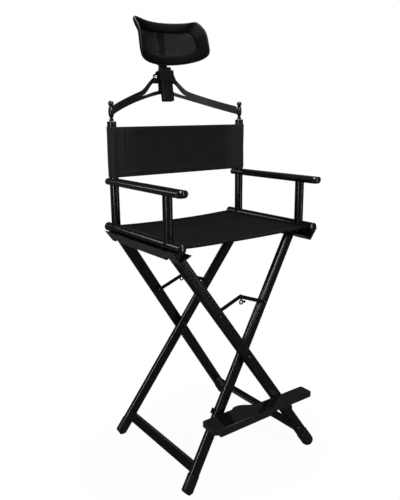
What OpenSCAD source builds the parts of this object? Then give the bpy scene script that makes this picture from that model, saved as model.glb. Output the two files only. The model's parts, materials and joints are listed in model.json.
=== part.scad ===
// Folding makeup chair with scissor legs, sling seat and back, footrest and headrest.
// X runs across the chair, Y from front to back and Z up from the floor.

/* [Side frames] */
// Half the distance between the two seat rails
rail_x = 250; // [235:1:270]
// Height of the seat rails' centre lines
rail_z = 745; // [735:1:760]
// Diameter of the rails, uprights and posts
tube_d = 28; // [25:0.5:30]
// Wall of the round tubes and of the arms
tube_wall = 1.6; // [1:0.1:3]
// Reach of the seat rails in front of the leg crossing
rail_front = 212; // [205:1:235]
// Reach of the seat rails behind the leg crossing
rail_rear = 209; // [203:1:230]
// Distance of the front uprights in front of the crossing
upright_y = 146; // [120:1:180]
// Distance of the rear posts behind the crossing
post_y = 155.6; // [140:0.2:160]
// Height of the tops of the rear posts
post_top = 1075; // [1065:1:1090]

/* [Arms] */
// Height of the arms' centre lines
arm_z = 893; // [860:1:895]
// Width of an arm
arm_w = 40; // [34:1:48]
// Height of an arm
arm_h = 20; // [16:1:24]
// Reach of the arms in front of the crossing
arm_front = 217; // [200:1:240]
// Reach of the arms behind the crossing
arm_rear = 179; // [176:1:210]
// Length of the end caps of the arms
arm_cap_l = 7; // [5:0.5:12]

/* [Legs] */
// Height of the crossing above the floor
cross_z = 367.9; // [364:0.1:370]
// Outward splay of the legs in percent of their length
splay_pct = 9.56; // [8.5:0.05:10.5]
// Width of a leg in the plane of its frame
leg_w = 38; // [32:1:40]
// Thickness of a leg from front to back
leg_t = 20; // [16:0.5:21]
// Wall of the legs and of the bottom rails
leg_wall = 1.6; // [1:0.1:3]
// Distance of the outer legs from the middle at the crossing
outer_y = 191.2; // [190:0.1:194]
// Distance of the inner legs from the middle at the crossing
inner_y = 163.7; // [161:0.1:164.5]
// Distance of the hinge pins below the rails' centres
pin_drop = 25; // [24:0.5:26]
// Distance of the hinge pins inside the rails' centres
pin_in = 2; // [0:0.5:4]
// Distance of the hinge pins from the legs' centre lines
hinge_side = 10.3; // [9.5:0.1:10.5]
// Length of a leg past its hinge pin
leg_past = 6.5; // [5:0.5:7]
// Diameter of the hinge pins and crossing bolts
pin_d = 8; // [6:0.5:9]
// Height of the bottom rails' centre lines
low_rail_z = 62.7; // [55:0.1:80]
// Width of a bottom rail
low_rail_w = 20; // [14:1:24]
// Height of a bottom rail
low_rail_h = 30; // [24:1:34]

/* [Feet] */
// Wall of the foot caps
foot_wall = 1.6; // [1:0.1:3]
// Gap between the foot caps and the bottom rails
foot_gap = 1.7; // [1:0.1:12]
// Depth of the flat under the round foot caps
foot_flat = 2.5; // [1:0.25:5]

/* [Hinge channels] */
// Height of a channel's lower edge below the rail's centre
channel_drop = 43; // [42:0.5:45]
// Height of a channel's upper lips below the rail's centre
lip_drop = 7; // [5:0.5:9]
// Distance of a channel's outer lip from the rail's centre
lip_x = 27; // [26:0.5:29]
// Distance of a channel's inner lip from the rail's centre
inner_lip_x = 40; // [34:0.5:42]
// Height of a channel's inner lip below the rail's centre
inner_lip_drop = 23; // [20:0.5:25]
// Wall of the channels
channel_wall = 3.5; // [3:0.1:4]
// Reach of the channels in front of the leg crossing
channel_front = 202; // [190:1:204]
// Reach of the channels behind the leg crossing
channel_rear = 184; // [180:1:204]
// Thickness of the ears that hold the pins
ear_t = 5; // [3.5:0.5:7]
// Gap between a leg and the ear beside it
ear_gap = 3.4; // [3.2:0.1:4]

/* [Canvas] */
// Thickness of the canvas
canvas_t = 2.4; // [1.5:0.1:3]
// Sag of the seat at its middle
seat_sag = 7; // [3:0.5:14]
// Distance of the seat's edges from the crossing, front and rear
seat_y = 203; // [180:1:210]
// Lower edge of the back canvas
back_low = 907; // [905.5:0.5:920]
// Upper edge of the back canvas
back_high = 1059; // [1040:1:1063]

/* [Stays] */
// Distance of the stay pins along the legs from the crossing
stay_up = 177; // [172:0.5:184]
// Height of the middle joint above the stay pins
stay_rise = 37; // [33:0.5:42]
// Width of a stay
stay_w = 13; // [11:0.5:14]
// Thickness of a stay
stay_t = 2.4; // [2:0.1:2.5]
// Diameter of the stay rivets
rivet_d = 5; // [4:0.5:6]

/* [Footrest] */
// Height of the top of the board
board_z = 216; // [206:1:226]
// Thickness of the board
board_t = 16; // [12:0.5:18]
// Reach of the board to the left
board_left = 184; // [170:1:200]
// Reach of the board to the right
board_right = 209; // [190:1:220]
// Front edge of the board in front of the crossing
board_front = 270; // [264:1:285]
// Rear edge of the board beside its clamp
board_rear = 203; // [202:0.5:206]
// Rear edge of the board in front of the outer leg
board_rear_right = 221.5; // [221.5:0.5:226]
// Rear edge of the board between the legs
board_hump = 194.5; // [194.5:0.5:203]
// Radius of the board's corners
board_r = 8; // [5:0.5:15]
// Depth of the rail under the front of the board
under_rail_h = 11; // [6:0.5:18]
// Width of the brace
brace_w = 16; // [12:0.5:20]
// Thickness of the brace
brace_t = 4; // [3:0.5:5]
// Angle of the brace above the horizontal
brace_angle = 38; // [35:0.5:41]
// Distance of the brace's pin down the outer leg from the crossing
brace_down = 345; // [338:1:352]

/* [Crossbar] */
// Thickness of the crossbar
bar_t = 5; // [4:0.5:6]
// Bow of the crossbar behind the posts
bar_bow = 99; // [85:1:110]
// Height of the crossbar's lower edge above the post tops at its ends
bar_low_end = 16; // [14:0.5:17]
// Height of the crossbar's lower edge above the post tops at the middle
bar_low_mid = 87; // [80:1:94]
// Depth of the crossbar at its ends
bar_depth = 26; // [22:0.5:28]
// Rise of its upper edge to the start of the hub
bar_rise = 50; // [44:1:56]
// Extra rise of the upper edge into the hub
hub_rise = 26.3; // [20:0.5:32]
// Depth of the upper prong
upper_prong = 14; // [10:0.5:16]
// Depth of the lower prong
lower_prong = 12.5; // [9:0.5:15]
// Diameter of the spindles' bodies
spindle_d = 16.5; // [14:0.5:20]
// Height of the spindles
spindle_h = 61; // [56:1:68]

/* [Headrest] */
// Lean of the headrest and its post
lean = 9.71; // [7:0.1:12]
// Width of the headrest's post
stem_w = 44; // [36:1:46]
// Thickness of the headrest's post
stem_t = 16; // [12:0.5:18]
// Wall of the headrest's post
stem_wall = 2.5; // [1.5:0.25:4]
// Half the width of the headrest along its curve
head_half = 159.3; // [145:0.5:175]
// Half the height of the headrest
head_b = 67.8; // [58:0.2:76]
// Radius of the headrest's curve
head_r = 146.8; // [135:0.5:165]
// Height of the headrest's centre
head_z = 1319.2; // [1312:0.2:1326]
// Width of the headrest's padded frame
pad_w = 31; // [24:0.5:36]
// Width of that frame at the sides, as a share of its width above and below
pad_side = 1.5; // [1:0.05:2]
// Thickness of the headrest's padded frame
pad_t = 12; // [8:0.5:15]
// Width of the yoke behind the headrest
yoke_w = 25; // [23:0.5:34]
// Thickness of the yoke
yoke_t = 4; // [3:0.5:6]

/* [Clearances] */
// Gap round each pin in its bore
pin_fit = 0.05; // [0.02:0.01:0.1]
// Gap between moving pieces that pass each other
running_gap = 0.3; // [0.2:0.05:0.6]

/* [Hidden] */
$fn = 48;

black = "#1c1c1e";
cloth = "#26262a";
rubber = "#2e2e30";
bright = "#c4c6c8";

eps = 1;
far = 1200;
rail_r = tube_d / 2;
hinge_x = rail_x - pin_in;
hinge_z = rail_z - pin_drop;
pin_reach = norm([hinge_x, hinge_z - cross_z]);
leg_angle = atan2(hinge_x, hinge_z - cross_z) - asin(hinge_side / pin_reach);
hinge_up = sqrt(pin_reach * pin_reach - hinge_side * hinge_side);
foot_r = leg_w / 2 + foot_wall;
splay = atan(splay_pct / 100);
floor_along = cross_z / cos(leg_angle);
foot_mid = floor_along - (foot_r - foot_flat) / cos(leg_angle);
foot_h = foot_mid - (cross_z - low_rail_z) / cos(leg_angle) - low_rail_h / 2 - foot_gap;
board_mid = board_z - board_t / 2;
link_x = stay_up * sin(leg_angle);
link_l = norm([link_x, stay_rise]);
link_angle = atan2(stay_rise, link_x);
stem_y = 248.5;
stem_z = 1210;
head_y = 250.7;
head_yoke_y = pad_t / 2 + running_gap;
rear_reach = head_y + (head_b - 6) * sin(lean) + (head_yoke_y + yoke_t) * cos(lean);
centre_y = (rear_reach - board_front) / 2;

function ramp(t) = let (u = min(1, max(0, t))) u * u * (3 - 2 * u);
// Distance of a leg's centre line from the middle plane, at a height along its frame
function leg_y(y0, along) = y0 - along * splay_pct / 100;

// Everything is drawn about the leg crossing and moved once, so that the chair stands centred
module place() {
    translate([0, -centre_y, 0]) children();
}

module both_ends() {
    children();
    mirror([0, 1, 0]) children();
}

module right_hand() {
    mirror([1, 0, 0]) children();
}

module obround(w, h) {
    square([w - h, h], center = true);
    for (side = [-1, 1]) {
        translate([side * (w - h) / 2, 0]) circle(d = h);
    }
}

module rounded(w, h, r) {
    square([w - 2 * r, h], center = true);
    square([w, h - 2 * r], center = true);
    for (x = [-1, 1], y = [-1, 1]) {
        translate([x * (w / 2 - r), y * (h / 2 - r)]) circle(r);
    }
}

// A rod along Y between two places
module rod_y(d, y0, y1) {
    translate([0, y1, 0]) rotate([90, 0, 0]) cylinder(d = d, h = y1 - y0);
}

// A low dome on a flat base, rising along +Z
module dome(d, h) {
    big_r = (d * d / 4 + h * h) / (2 * h);
    intersection() {
        cylinder(d = d, h = h);
        translate([0, 0, h - big_r]) sphere(big_r, $fn = 64);
    }
}

// A dome that points to the front, with its base at y
module dome_front(d, h, y) {
    translate([0, y, 0]) rotate([90, 0, 0]) dome(d, h);
}

// Side frames

module seat_rail_shape() {
    translate([-rail_x, 0, rail_z]) difference() {
        rod_y(tube_d, -rail_front, rail_rear);
        rod_y(tube_d - 2 * tube_wall, -rail_front - eps, rail_rear + eps);
    }
}

plug_l = 18;
plug_dome = 2;

module rail_plug(reach) {
    translate([-rail_x, 0, rail_z]) {
        rod_y(tube_d - 2 * tube_wall, -reach, -reach + plug_l);
        dome_front(tube_d, plug_dome, -reach);
    }
}

module rail_plugs_shape() {
    rail_plug(rail_front);
    mirror([0, 1, 0]) rail_plug(rail_rear);
}

module rail_solid() {
    translate([-rail_x, 0, rail_z]) rod_y(tube_d, -rail_front, rail_rear);
}

module arm_solid(front, rear) {
    translate([-rail_x, rear, arm_z]) rotate([90, 0, 0]) linear_extrude(rear + front) obround(arm_w, arm_h);
}

module front_upright_shape() {
    difference() {
        translate([-rail_x, -upright_y, rail_z]) cylinder(d = tube_d, h = arm_z - rail_z);
        translate([-rail_x, -upright_y, rail_z - eps])
            cylinder(d = tube_d - 2 * tube_wall, h = arm_z - rail_z + 2 * eps);
        rail_solid();
        arm_solid(arm_front, arm_rear);
    }
}

cap_t = 4;
cap_spigot = 16;

module rear_post_shape() {
    difference() {
        translate([-rail_x, post_y, rail_z]) cylinder(d = tube_d, h = post_top - cap_t - rail_z);
        translate([-rail_x, post_y, rail_z - eps])
            cylinder(d = tube_d - 2 * tube_wall, h = post_top - rail_z);
        rail_solid();
    }
}

module post_cap_shape() {
    translate([-rail_x, post_y, post_top - cap_t]) {
        translate([0, 0, -cap_spigot]) cylinder(d = tube_d - 2 * tube_wall, h = cap_spigot);
        intersection() {
            cylinder(d = tube_d, h = cap_t);
            translate([0, 0, -cap_t])
                cylinder(r1 = rail_r + 2 * cap_t, r2 = rail_r - cap_t / 4, h = 2 * cap_t, $fn = 64);
        }
    }
}

module arm_shape() {
    translate([-rail_x, arm_rear, arm_z]) difference() {
        rotate([90, 0, 0]) linear_extrude(arm_front + arm_rear) difference() {
            obround(arm_w, arm_h);
            obround(arm_w - 2 * tube_wall, arm_h - 2 * tube_wall);
        }
        translate([0, post_y - arm_rear, 0]) cylinder(d = tube_d + 2 * pin_fit, h = 2 * arm_h, center = true);
    }
}

// The arms' plugs stop just short of the rear posts
arm_plug_l = arm_rear - post_y - rail_r - running_gap;

module arm_cap(reach) {
    translate([-rail_x, -reach, arm_z]) rotate([90, 0, 0]) {
        translate([0, 0, -arm_plug_l]) linear_extrude(arm_plug_l)
            obround(arm_w - 2 * tube_wall, arm_h - 2 * tube_wall);
        intersection() {
            linear_extrude(arm_cap_l) obround(arm_w, arm_h);
            translate([0, 0, arm_cap_l - arm_w * 0.62]) sphere(arm_w * 0.62, $fn = 64);
        }
    }
}

module arm_caps_shape() {
    arm_cap(arm_front);
    mirror([0, 1, 0]) arm_cap(arm_rear);
}

// Hinge channels: a folded V under each rail, with ears that carry the rail and the leg pins

slot_out = leg_w / 2 - hinge_side + 0.8;

// A channel's two arms as the region above them, moved in by its wall
module vee(inset) {
    outer = [-lip_x, channel_drop - lip_drop];
    inner = [inner_lip_x, channel_drop - inner_lip_drop];
    rise = inset / sin(180 - atan2(inner[1], inner[0]) - atan2(outer[1], -outer[0]))
        * (inner / norm(inner) + outer / norm(outer));
    translate([0, -channel_drop]) polygon([rise, rise + inner, rise + outer]);
}

// The ears fill the channel up to the rail, level with its outer lip
module ear_profile() {
    intersection() {
        vee(channel_wall - 0.01);
        translate([-far / 2, -lip_drop - far]) square([far, far]);
    }
    intersection() {
        translate([-lip_x / 2, -channel_drop + 2 * channel_wall])
            square([lip_x / 2 + rail_r + channel_wall, channel_drop - lip_drop - 2 * channel_wall]);
        translate([0, -channel_drop]) polygon([
            [0, 0], [far, far * (channel_drop - inner_lip_drop) / inner_lip_x],
            [-far, far * (channel_drop - lip_drop) / lip_x]
        ]);
    }
}

module channel_shape(y0) {
    leg_mid = leg_y(y0, hinge_up);
    slot = leg_t / 2 + ear_gap;
    ear_end = -leg_mid + slot + 2 * ear_t;
    difference() {
        union() {
            translate([-rail_x, channel_rear, rail_z]) rotate([90, 0, 0])
                linear_extrude(channel_front + channel_rear)
                difference() {
                    vee(0);
                    vee(channel_wall);
                }
            both_ends() for (side = [-1, 1]) {
                translate([-rail_x, -leg_mid + side * (slot + ear_t / 2) + ear_t / 2, rail_z])
                    rotate([90, 0, 0]) linear_extrude(ear_t) ear_profile();
            }
        }
        rail_solid();
        both_ends() {
            translate([-hinge_x - slot_out, -leg_mid - slot, rail_z - channel_drop - eps])
                cube([hinge_x + slot_out, 2 * slot, channel_drop + eps]);
            translate([-hinge_x, 0, hinge_z])
                rod_y(pin_d + 2 * pin_fit, -leg_mid - slot - 2 * ear_t, ear_end);
        }
    }
}

module hinge_pins_shape(y0) {
    leg_mid = leg_y(y0, hinge_up);
    reach = leg_t / 2 + ear_gap + ear_t;
    both_ends() translate([-hinge_x, 0, hinge_z]) {
        rod_y(pin_d, -leg_mid - reach, -leg_mid + reach);
        dome_front(pin_d + 4, 2.5, -leg_mid - reach);
        mirror([0, 1, 0]) dome_front(pin_d + 4, 2.5, leg_mid - reach);
    }
}

// Leg frames: in a frame's own coordinates Z runs up the legs from the crossing

module leg_frame(side) {
    translate([0, 0, cross_z]) rotate([0, side * leg_angle, 0]) children();
}

module leg_line(y0) {
    translate([0, -y0, 0]) rotate([-splay, 0, 0]) children();
}

module leg_solid(y0) {
    low = foot_mid / cos(splay);
    high = (hinge_up + leg_past) / cos(splay);
    leg_line(y0) translate([0, 0, -low]) linear_extrude(low + high) obround(leg_w, leg_t);
}

module pin_bore(x, along, d) {
    translate([x, 0, along]) rod_y(d + 2 * pin_fit, -far / 2, 0);
}

module leg_shape(y0, side) {
    low = foot_mid / cos(splay);
    high = (hinge_up + leg_past) / cos(splay);
    difference() {
        leg_line(y0) translate([0, 0, -low]) linear_extrude(low + high) difference() {
            obround(leg_w, leg_t);
            obround(leg_w - 2 * leg_wall, leg_t - 2 * leg_wall);
        }
        pin_bore(side * hinge_side, hinge_up, pin_d);
        pin_bore(0, 0, pin_d);
        pin_bore(0, stay_up, rivet_d);
    }
}

module bottom_rail_shape(y0) {
    along = (low_rail_z - cross_z) / cos(leg_angle);
    reach = leg_y(y0, along);
    difference() {
        translate([0, reach, along]) rotate([90, 0, 0]) linear_extrude(2 * reach) difference() {
            rounded(low_rail_w, low_rail_h, 3);
            rounded(low_rail_w - 2 * leg_wall, low_rail_h - 2 * leg_wall, 2);
        }
        both_ends() leg_solid(y0);
    }
}

module foot_cap(y0) {
    middle = foot_mid / cos(splay);
    difference() {
        leg_line(y0) translate([0, 0, -middle]) intersection() {
            translate([0, 0, -foot_r]) linear_extrude(foot_r + foot_h)
                obround(leg_w + 2 * foot_wall, leg_t + 2 * foot_wall);
            union() {
                rotate([90, 0, 0]) cylinder(r = foot_r, h = 2 * leg_t, center = true);
                translate([-leg_w, -leg_t, 0]) cube([2 * leg_w, 2 * leg_t, foot_h]);
            }
        }
        leg_solid(y0);
    }
}

module foot_caps_shape(side, y0) {
    difference() {
        leg_frame(side) both_ends() foot_cap(y0);
        translate([0, 0, -far / 2]) cube(far, center = true);
    }
}

bolt_head_d = 20;
bolt_head_h = 5.5;
nut_d = 16;
nut_h = 7;
washer_t = 1;
spacer_d = 22;
spacer_t = 5;

module crossing_bolts_shape() {
    front = outer_y + leg_t / 2 + washer_t;
    back = inner_y - leg_t / 2 - washer_t;
    both_ends() translate([0, 0, cross_z]) {
        rod_y(pin_d, -front, -back);
        dome_front(bolt_head_d, bolt_head_h, -front);
        rod_y(nut_d, -back, -back + nut_h, $fn = 6);
    }
}

module crossing_spacers_shape() {
    middle = (outer_y + inner_y) / 2;
    both_ends() translate([0, 0, cross_z]) difference() {
        rod_y(spacer_d, -middle - spacer_t / 2, -middle + spacer_t / 2);
        rod_y(pin_d + 2 * pin_fit, -middle - spacer_t, -middle + spacer_t);
    }
}

// Stays: two flat links on each face that spread the legs and lock above the crossing

stay_z = cross_z + stay_up * cos(leg_angle);
outer_link_y = leg_y(inner_y, stay_up) + leg_t / 2 - running_gap;
inner_link_y = outer_link_y + stay_t + 1.4;

stay_bar_w = stay_w - 1;

module stay_link(y) {
    translate([0, -y + stay_t, stay_z]) rotate([90, 0, 0]) linear_extrude(stay_t) difference() {
        union() {
            translate([-link_x, 0]) rotate(link_angle) translate([0, -stay_bar_w / 2])
                square([link_l, stay_bar_w]);
            translate([-link_x, 0]) circle(d = stay_w);
            translate([0, stay_rise]) circle(d = stay_w);
        }
        translate([-link_x, 0]) circle(d = rivet_d + 2 * pin_fit);
    }
}

module outer_stays_shape() {
    both_ends() stay_link(outer_link_y);
}

module inner_stays_shape() {
    both_ends() right_hand() stay_link(inner_link_y);
}

module outer_stay_rivets_shape() {
    front = leg_y(outer_y, stay_up) + leg_t / 2 + 1;
    both_ends() translate([-link_x, 0, stay_z]) {
        rod_y(rivet_d, -front, -outer_link_y + stay_t + 1.5);
        dome_front(12, 3, -front);
        mirror([0, 1, 0]) dome_front(10, 2, outer_link_y - stay_t - running_gap / 2);
    }
}

module inner_stay_rivets_shape() {
    back = leg_y(inner_y, stay_up) - leg_t / 2 - 1;
    both_ends() translate([link_x, 0, stay_z]) {
        rod_y(rivet_d, -inner_link_y - 1, -back);
        dome_front(10, 2, -inner_link_y - running_gap / 2);
        mirror([0, 1, 0]) dome_front(12, 3, back);
    }
}

lock_head_d = 13;
knob_d = 8;
knob_h = 5;
knob_x = 11;
knob_down = 17;
ring_r = 8;
ring_hole_r = 4;
ring_arm = 6;

// The middle joint's rivet head, its pull ring and the small knob beside it
module stay_lock_shape() {
    y = inner_link_y + running_gap / 2;
    both_ends() translate([0, 0, stay_z + stay_rise]) {
        dome_front(lock_head_d, 3, -y);
        translate([knob_x, 0, -knob_down]) dome_front(knob_d, knob_h, -y);
        translate([-ring_arm / 4, -y, -2 * ring_r]) rotate([90, 0, 0]) linear_extrude(stay_t) difference() {
            union() {
                circle(r = ring_r);
                translate([-ring_arm / 2, 0]) square([ring_arm, 2 * ring_r]);
                translate([0, -ring_arm / 2]) square([knob_x + ring_arm / 4, ring_arm]);
            }
            circle(r = ring_hole_r);
        }
    }
}

// Footrest: a board hinged on a clamp round one inner leg, propped by a bracket and a brace

clamp_along = (board_mid - cross_z) / cos(leg_angle);
board_pin_x = clamp_along * sin(leg_angle);
clamp_h = 17;
clamp_wall = 4;
clamp_r = 7;
boss_d = 14;

module footrest_clamp_shape() {
    mid = leg_y(inner_y, clamp_along);
    difference() {
        union() {
            leg_frame(1) leg_line(inner_y) translate([0, 0, clamp_along / cos(splay) - clamp_h / 2])
                linear_extrude(clamp_h) rounded(leg_w + 2 * clamp_wall, leg_t + 2 * clamp_wall, clamp_r);
            translate([board_pin_x, 0, board_mid]) rod_y(boss_d, -board_rear + running_gap, -mid);
        }
        leg_frame(1) leg_solid(inner_y);
        translate([board_pin_x, 0, board_mid]) rod_y(pin_d + 2 * pin_fit, -board_rear - eps, -mid);
    }
}

pin_in_board = 32;

module footrest_pivot_bolt_shape() {
    mid = leg_y(inner_y, clamp_along);
    translate([board_pin_x, 0, board_mid]) rod_y(pin_d, -board_rear - pin_in_board, -mid - leg_t / 2 - 1);
}

left_step_x = -42;
right_step_x = 14;
hump_x0 = -73;
hump_x1 = -55;
step_n = 12;

// Distance of the board's rear edge from the middle plane
function board_back(x) = x < left_step_x
    ? board_rear - (board_rear - board_hump) * ramp((x - hump_x0) / (hump_x1 - hump_x0))
    : board_hump + (board_rear_right - board_hump) * ramp((x - left_step_x) / (right_step_x - left_step_x));

module board_outline() {
    left_end = hump_x0 - board_r;
    depth_l = board_front - board_rear;
    depth_r = board_front - board_rear_right;
    middle = [for (i = [0:step_n]) hump_x0 + (left_step_x - hump_x0) * i / step_n];
    right = [for (i = [1:step_n]) left_step_x + (right_step_x - left_step_x) * i / step_n];
    translate([(hump_x0 - board_left) / 2, -board_front + depth_l / 2])
        rounded(board_left + hump_x0, depth_l, board_r);
    translate([(board_right + right_step_x) / 2, -board_front + depth_r / 2])
        rounded(board_right - right_step_x, depth_r, board_r);
    polygon(concat(
        [[right_step_x + board_r, -board_front], [right_step_x + board_r, -board_rear_right]],
        [for (i = [step_n - 1:-1:0]) [right[i], -board_back(right[i])]],
        [for (i = [step_n:-1:0]) [middle[i], -board_back(middle[i])]],
        [[left_end, -board_rear], [left_end, -board_front]]
    ));
}

under_left = 12;
under_right = 31;
under_t = 18;
under_slope = 8;

module footrest_board_shape() {
    low = board_z - board_t;
    difference() {
        union() {
            translate([0, 0, low]) linear_extrude(board_t) board_outline();
            translate([0, -board_front + under_t, low]) rotate([90, 0, 0]) linear_extrude(under_t) polygon([
                [-board_left + under_left, 0],
                [-board_left + under_left + under_slope, -under_rail_h],
                [under_right, -under_rail_h * 0.8],
                [under_right + under_slope, 0]
            ]);
        }
        translate([board_pin_x, 0, board_mid])
            rod_y(pin_d + 2 * pin_fit, -board_rear - pin_in_board - eps, -board_rear + eps);
    }
}

// The left and right edge of the outer front leg at a height
function leg_left(z) = (cross_z - z) * tan(leg_angle) - leg_w / 2 / cos(leg_angle);
function leg_right(z) = (cross_z - z) * tan(leg_angle) + leg_w / 2 / cos(leg_angle);

brace_off = 8;
brace_x = brace_down * sin(leg_angle) - brace_off * cos(leg_angle);
brace_z = cross_z - brace_down * cos(leg_angle) - brace_off * sin(leg_angle);
brace_y = leg_y(outer_y, -brace_down) + leg_t / 2 + 2 + brace_t;
brace_l = (board_z - board_t - running_gap - brace_w / 2 - brace_z) / sin(brace_angle);

brace_bar_w = brace_w - 1;

module footrest_brace_shape() {
    translate([brace_x, -brace_y + brace_t, brace_z]) rotate([90, 0, 0])
        linear_extrude(brace_t) difference() {
        rotate(180 - brace_angle) union() {
            translate([0, -brace_bar_w / 2]) square([brace_l, brace_bar_w]);
            circle(d = brace_w);
            translate([brace_l, 0]) circle(d = brace_w);
        }
        circle(d = pin_d + 2 * pin_fit);
    }
}

brace_head_d = 15;
brace_spacer_d = 14;

module brace_bolt_shape() {
    leg_side = -brace_y + brace_t + leg_t / 2;
    difference() {
        translate([brace_x, 0, brace_z]) {
            rod_y(pin_d, -brace_y - running_gap, leg_side);
            dome_front(brace_head_d, brace_t, -brace_y - running_gap);
            rod_y(brace_spacer_d, -brace_y + brace_t + running_gap, leg_side);
        }
        leg_frame(-1) leg_solid(outer_y);
    }
}

bracket_t = 3;
bracket_h = 88;
bracket_w = 60;
bracket_y = brace_y - brace_t - 4 * bracket_t;
stud_d = 12;
stud_l = 16;

// A plate on the front of the outer leg that carries the board, on two studs
module rest_bracket_shape() {
    top = board_z - board_t - running_gap;
    low = top - bracket_h;
    x0 = leg_left(top);
    difference() {
        union() {
            translate([0, -bracket_y + bracket_t, 0]) rotate([90, 0, 0]) linear_extrude(bracket_t) polygon([
                [x0, top], [x0 + bracket_w, top],
                [leg_right(top - bracket_h / 2) + 4, top - bracket_h / 2],
                [leg_right(low + bracket_h / 3) - 5, low + bracket_h / 3],
                [leg_left(low) - 6, low],
                [leg_left(low + bracket_h / 3) - 4, low + bracket_h / 3],
                [x0 + bracket_w * 0.43, top - bracket_h * 0.42],
                [x0, top - bracket_h / 4]
            ]);
            translate([x0 + 8, -bracket_y - 2 * bracket_t, top - bracket_t])
                cube([bracket_w - 8, 3 * bracket_t, bracket_t]);
            for (down = [bracket_h / 3, bracket_h * 0.7]) {
                translate([leg_left(top - down) + leg_w / 2, 0, top - down])
                    rod_y(stud_d, -bracket_y, -bracket_y + stud_l);
            }
        }
        leg_frame(-1) leg_solid(outer_y);
        leg_frame(-1) leg_line(outer_y) translate([0, leg_t, -far / 2])
            linear_extrude(far) square([far, leg_t * 2], center = true);
    }
}

// Crossbar: a flat bar on edge, bowed back in plan and split into two prongs on each side

bar_r = (rail_x * rail_x + bar_bow * bar_bow) / (2 * bar_bow);
bar_back = post_y + bar_bow;
hub_half = 38;
hub_top = 12;
web_half = 19;
fork_x = 94;
bar_tall = 260;
bar_steps = 20;
fork_steps = 12;
lower_z = post_top + bar_low_mid;

function bar_low(x) = lower_z - (bar_low_mid - bar_low_end) * pow(x / rail_x, 1.25);
function bar_high(x) = post_top + bar_low_end + bar_depth + bar_rise * (rail_x - x) / 150
    + hub_rise * ramp((fork_x - x) / 60);
function fork_q(x) = pow((x - web_half) / (fork_x - web_half), 3);
function fork_mid() = (bar_low(fork_x) + lower_prong + bar_high(fork_x) - upper_prong) / 2;
function mix(a, b, q) = a * (1 - q) + b * q;

module bar_half() {
    edge = [for (i = [0:bar_steps]) rail_x * i / bar_steps];
    fork = [for (i = [0:fork_steps]) web_half + (fork_x - web_half) * i / fork_steps];
    top = bar_high(hub_half) + hub_top;
    difference() {
        polygon(concat(
            [for (x = edge) [x, bar_low(x)]],
            [for (i = [bar_steps:-1:0]) let (x = edge[i]) if (x > hub_half) [x, bar_high(x)]],
            [[hub_half, bar_high(hub_half)], [hub_half - 4, top], [0, top]]
        ));
        polygon(concat(
            [for (x = fork) [x, mix(bar_low(x) + lower_prong, fork_mid(), fork_q(x))]],
            [for (i = [fork_steps - 1:-1:0]) let (x = fork[i])
                [x, mix(min(bar_high(x), bar_high(hub_half) - 4) - upper_prong, fork_mid(), fork_q(x))]]
        ));
    }
}

hub_pad_h = 28;
hub_pad_back = 10.5;
stem_back = -2;
stem_gap_y = stem_back + running_gap;

module crossbar_shape() {
    difference() {
        union() {
            intersection() {
                translate([0, far / 2, 0]) rotate([90, 0, 0]) linear_extrude(far) {
                    bar_half();
                    mirror([1, 0]) bar_half();
                }
                translate([0, bar_back - bar_r, post_top]) difference() {
                    cylinder(r = bar_r + bar_t / 2, h = bar_tall, $fn = 180);
                    translate([0, 0, -eps])
                        cylinder(r = bar_r - bar_t / 2, h = bar_tall + 2 * eps, $fn = 180);
                    translate([-far / 2, -far, -eps]) cube([far, far, bar_tall + 2 * eps]);
                }
            }
            stem_frame() translate([-hub_half + 2, stem_gap_y, -hub_pad_h / 2])
                cube([2 * hub_half - 4, hub_pad_back - stem_gap_y, hub_pad_h]);
        }
        for (side = [-1, 1]) {
            translate([side * rail_x, post_y, post_top])
                cylinder(r = spindle_reach + pin_fit, h = 2 * spindle_h);
        }
        bolt_bores(clamp_bolt_d + 2 * pin_fit);
        stem_frame() translate([-stem_w / 2 - 2, stem_gap_y - 2 * stem_t, -stem_down])
            cube([stem_w + 4, 2 * stem_t, 2 * stem_down]);
    }
}

module stem_frame() {
    translate([0, stem_y, stem_z]) rotate([-lean, 0, 0]) children();
}

clamp_bolt_d = 6;
clamp_head_d = 13;
clamp_bolt_l = 12;
bolt_x = 34;
bolt_up = 3;
plate_t = 4;
wing_back = 2.5;
plate_low = -17;
plate_high = 24;
strap_x = stem_w / 2 + running_gap + plate_t;
strap_front = stem_t - stem_back + running_gap + plate_t;

module bolt_bores(d) {
    stem_frame() for (side = [-1, 1]) {
        translate([side * bolt_x, 0, bolt_up]) rod_y(d, -2 * clamp_bolt_l, 3 * clamp_bolt_l);
    }
}

// The clamp: two wings bolted to the crossbar and a strap round the front of the post
module clamp_plate_shape() {
    side_x = bolt_x + 1;
    wide_x = bolt_x + 15;
    difference() {
        stem_frame() difference() {
            translate([0, -wing_back, 0]) rotate([90, 0, 0]) linear_extrude(strap_front - wing_back) polygon([
                [-side_x + 7, plate_high], [side_x - 7, plate_high], [side_x, plate_high - 8],
                [wide_x, plate_low], [strap_x, plate_low], [bolt_x / 2, plate_low + 4],
                [-bolt_x / 2, plate_low + 4], [-strap_x, plate_low], [-wide_x, plate_low],
                [-side_x, plate_high - 8]
            ]);
            for (side = [-1, 1]) {
                translate([side * (strap_x + far / 2), -wing_back - plate_t - far / 2, 0])
                    cube([far, far, far], center = true);
            }
            translate([-stem_w / 2 - running_gap, -strap_front + plate_t, -far / 2])
                cube([stem_w + 2 * running_gap, far, far]);
        }
        bolt_bores(clamp_bolt_d + 2 * pin_fit);
    }
}

module clamp_bolts_shape() {
    front = wing_back + plate_t;
    stem_frame() for (side = [-1, 1]) {
        translate([side * bolt_x, 0, bolt_up]) {
            rod_y(clamp_bolt_d, -front, clamp_bolt_l);
            dome_front(clamp_head_d, plate_t, -front);
        }
    }
}

spindle_foot_r = 6;
spindle_foot_h = 7;
spindle_low = 11;
spindle_neck = 4.4;
ball_r = 8.5;
spindle_steps = 24;
spindle_reach = max([for (i = [0:spindle_steps]) spindle_r(i / spindle_steps)]);

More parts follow.
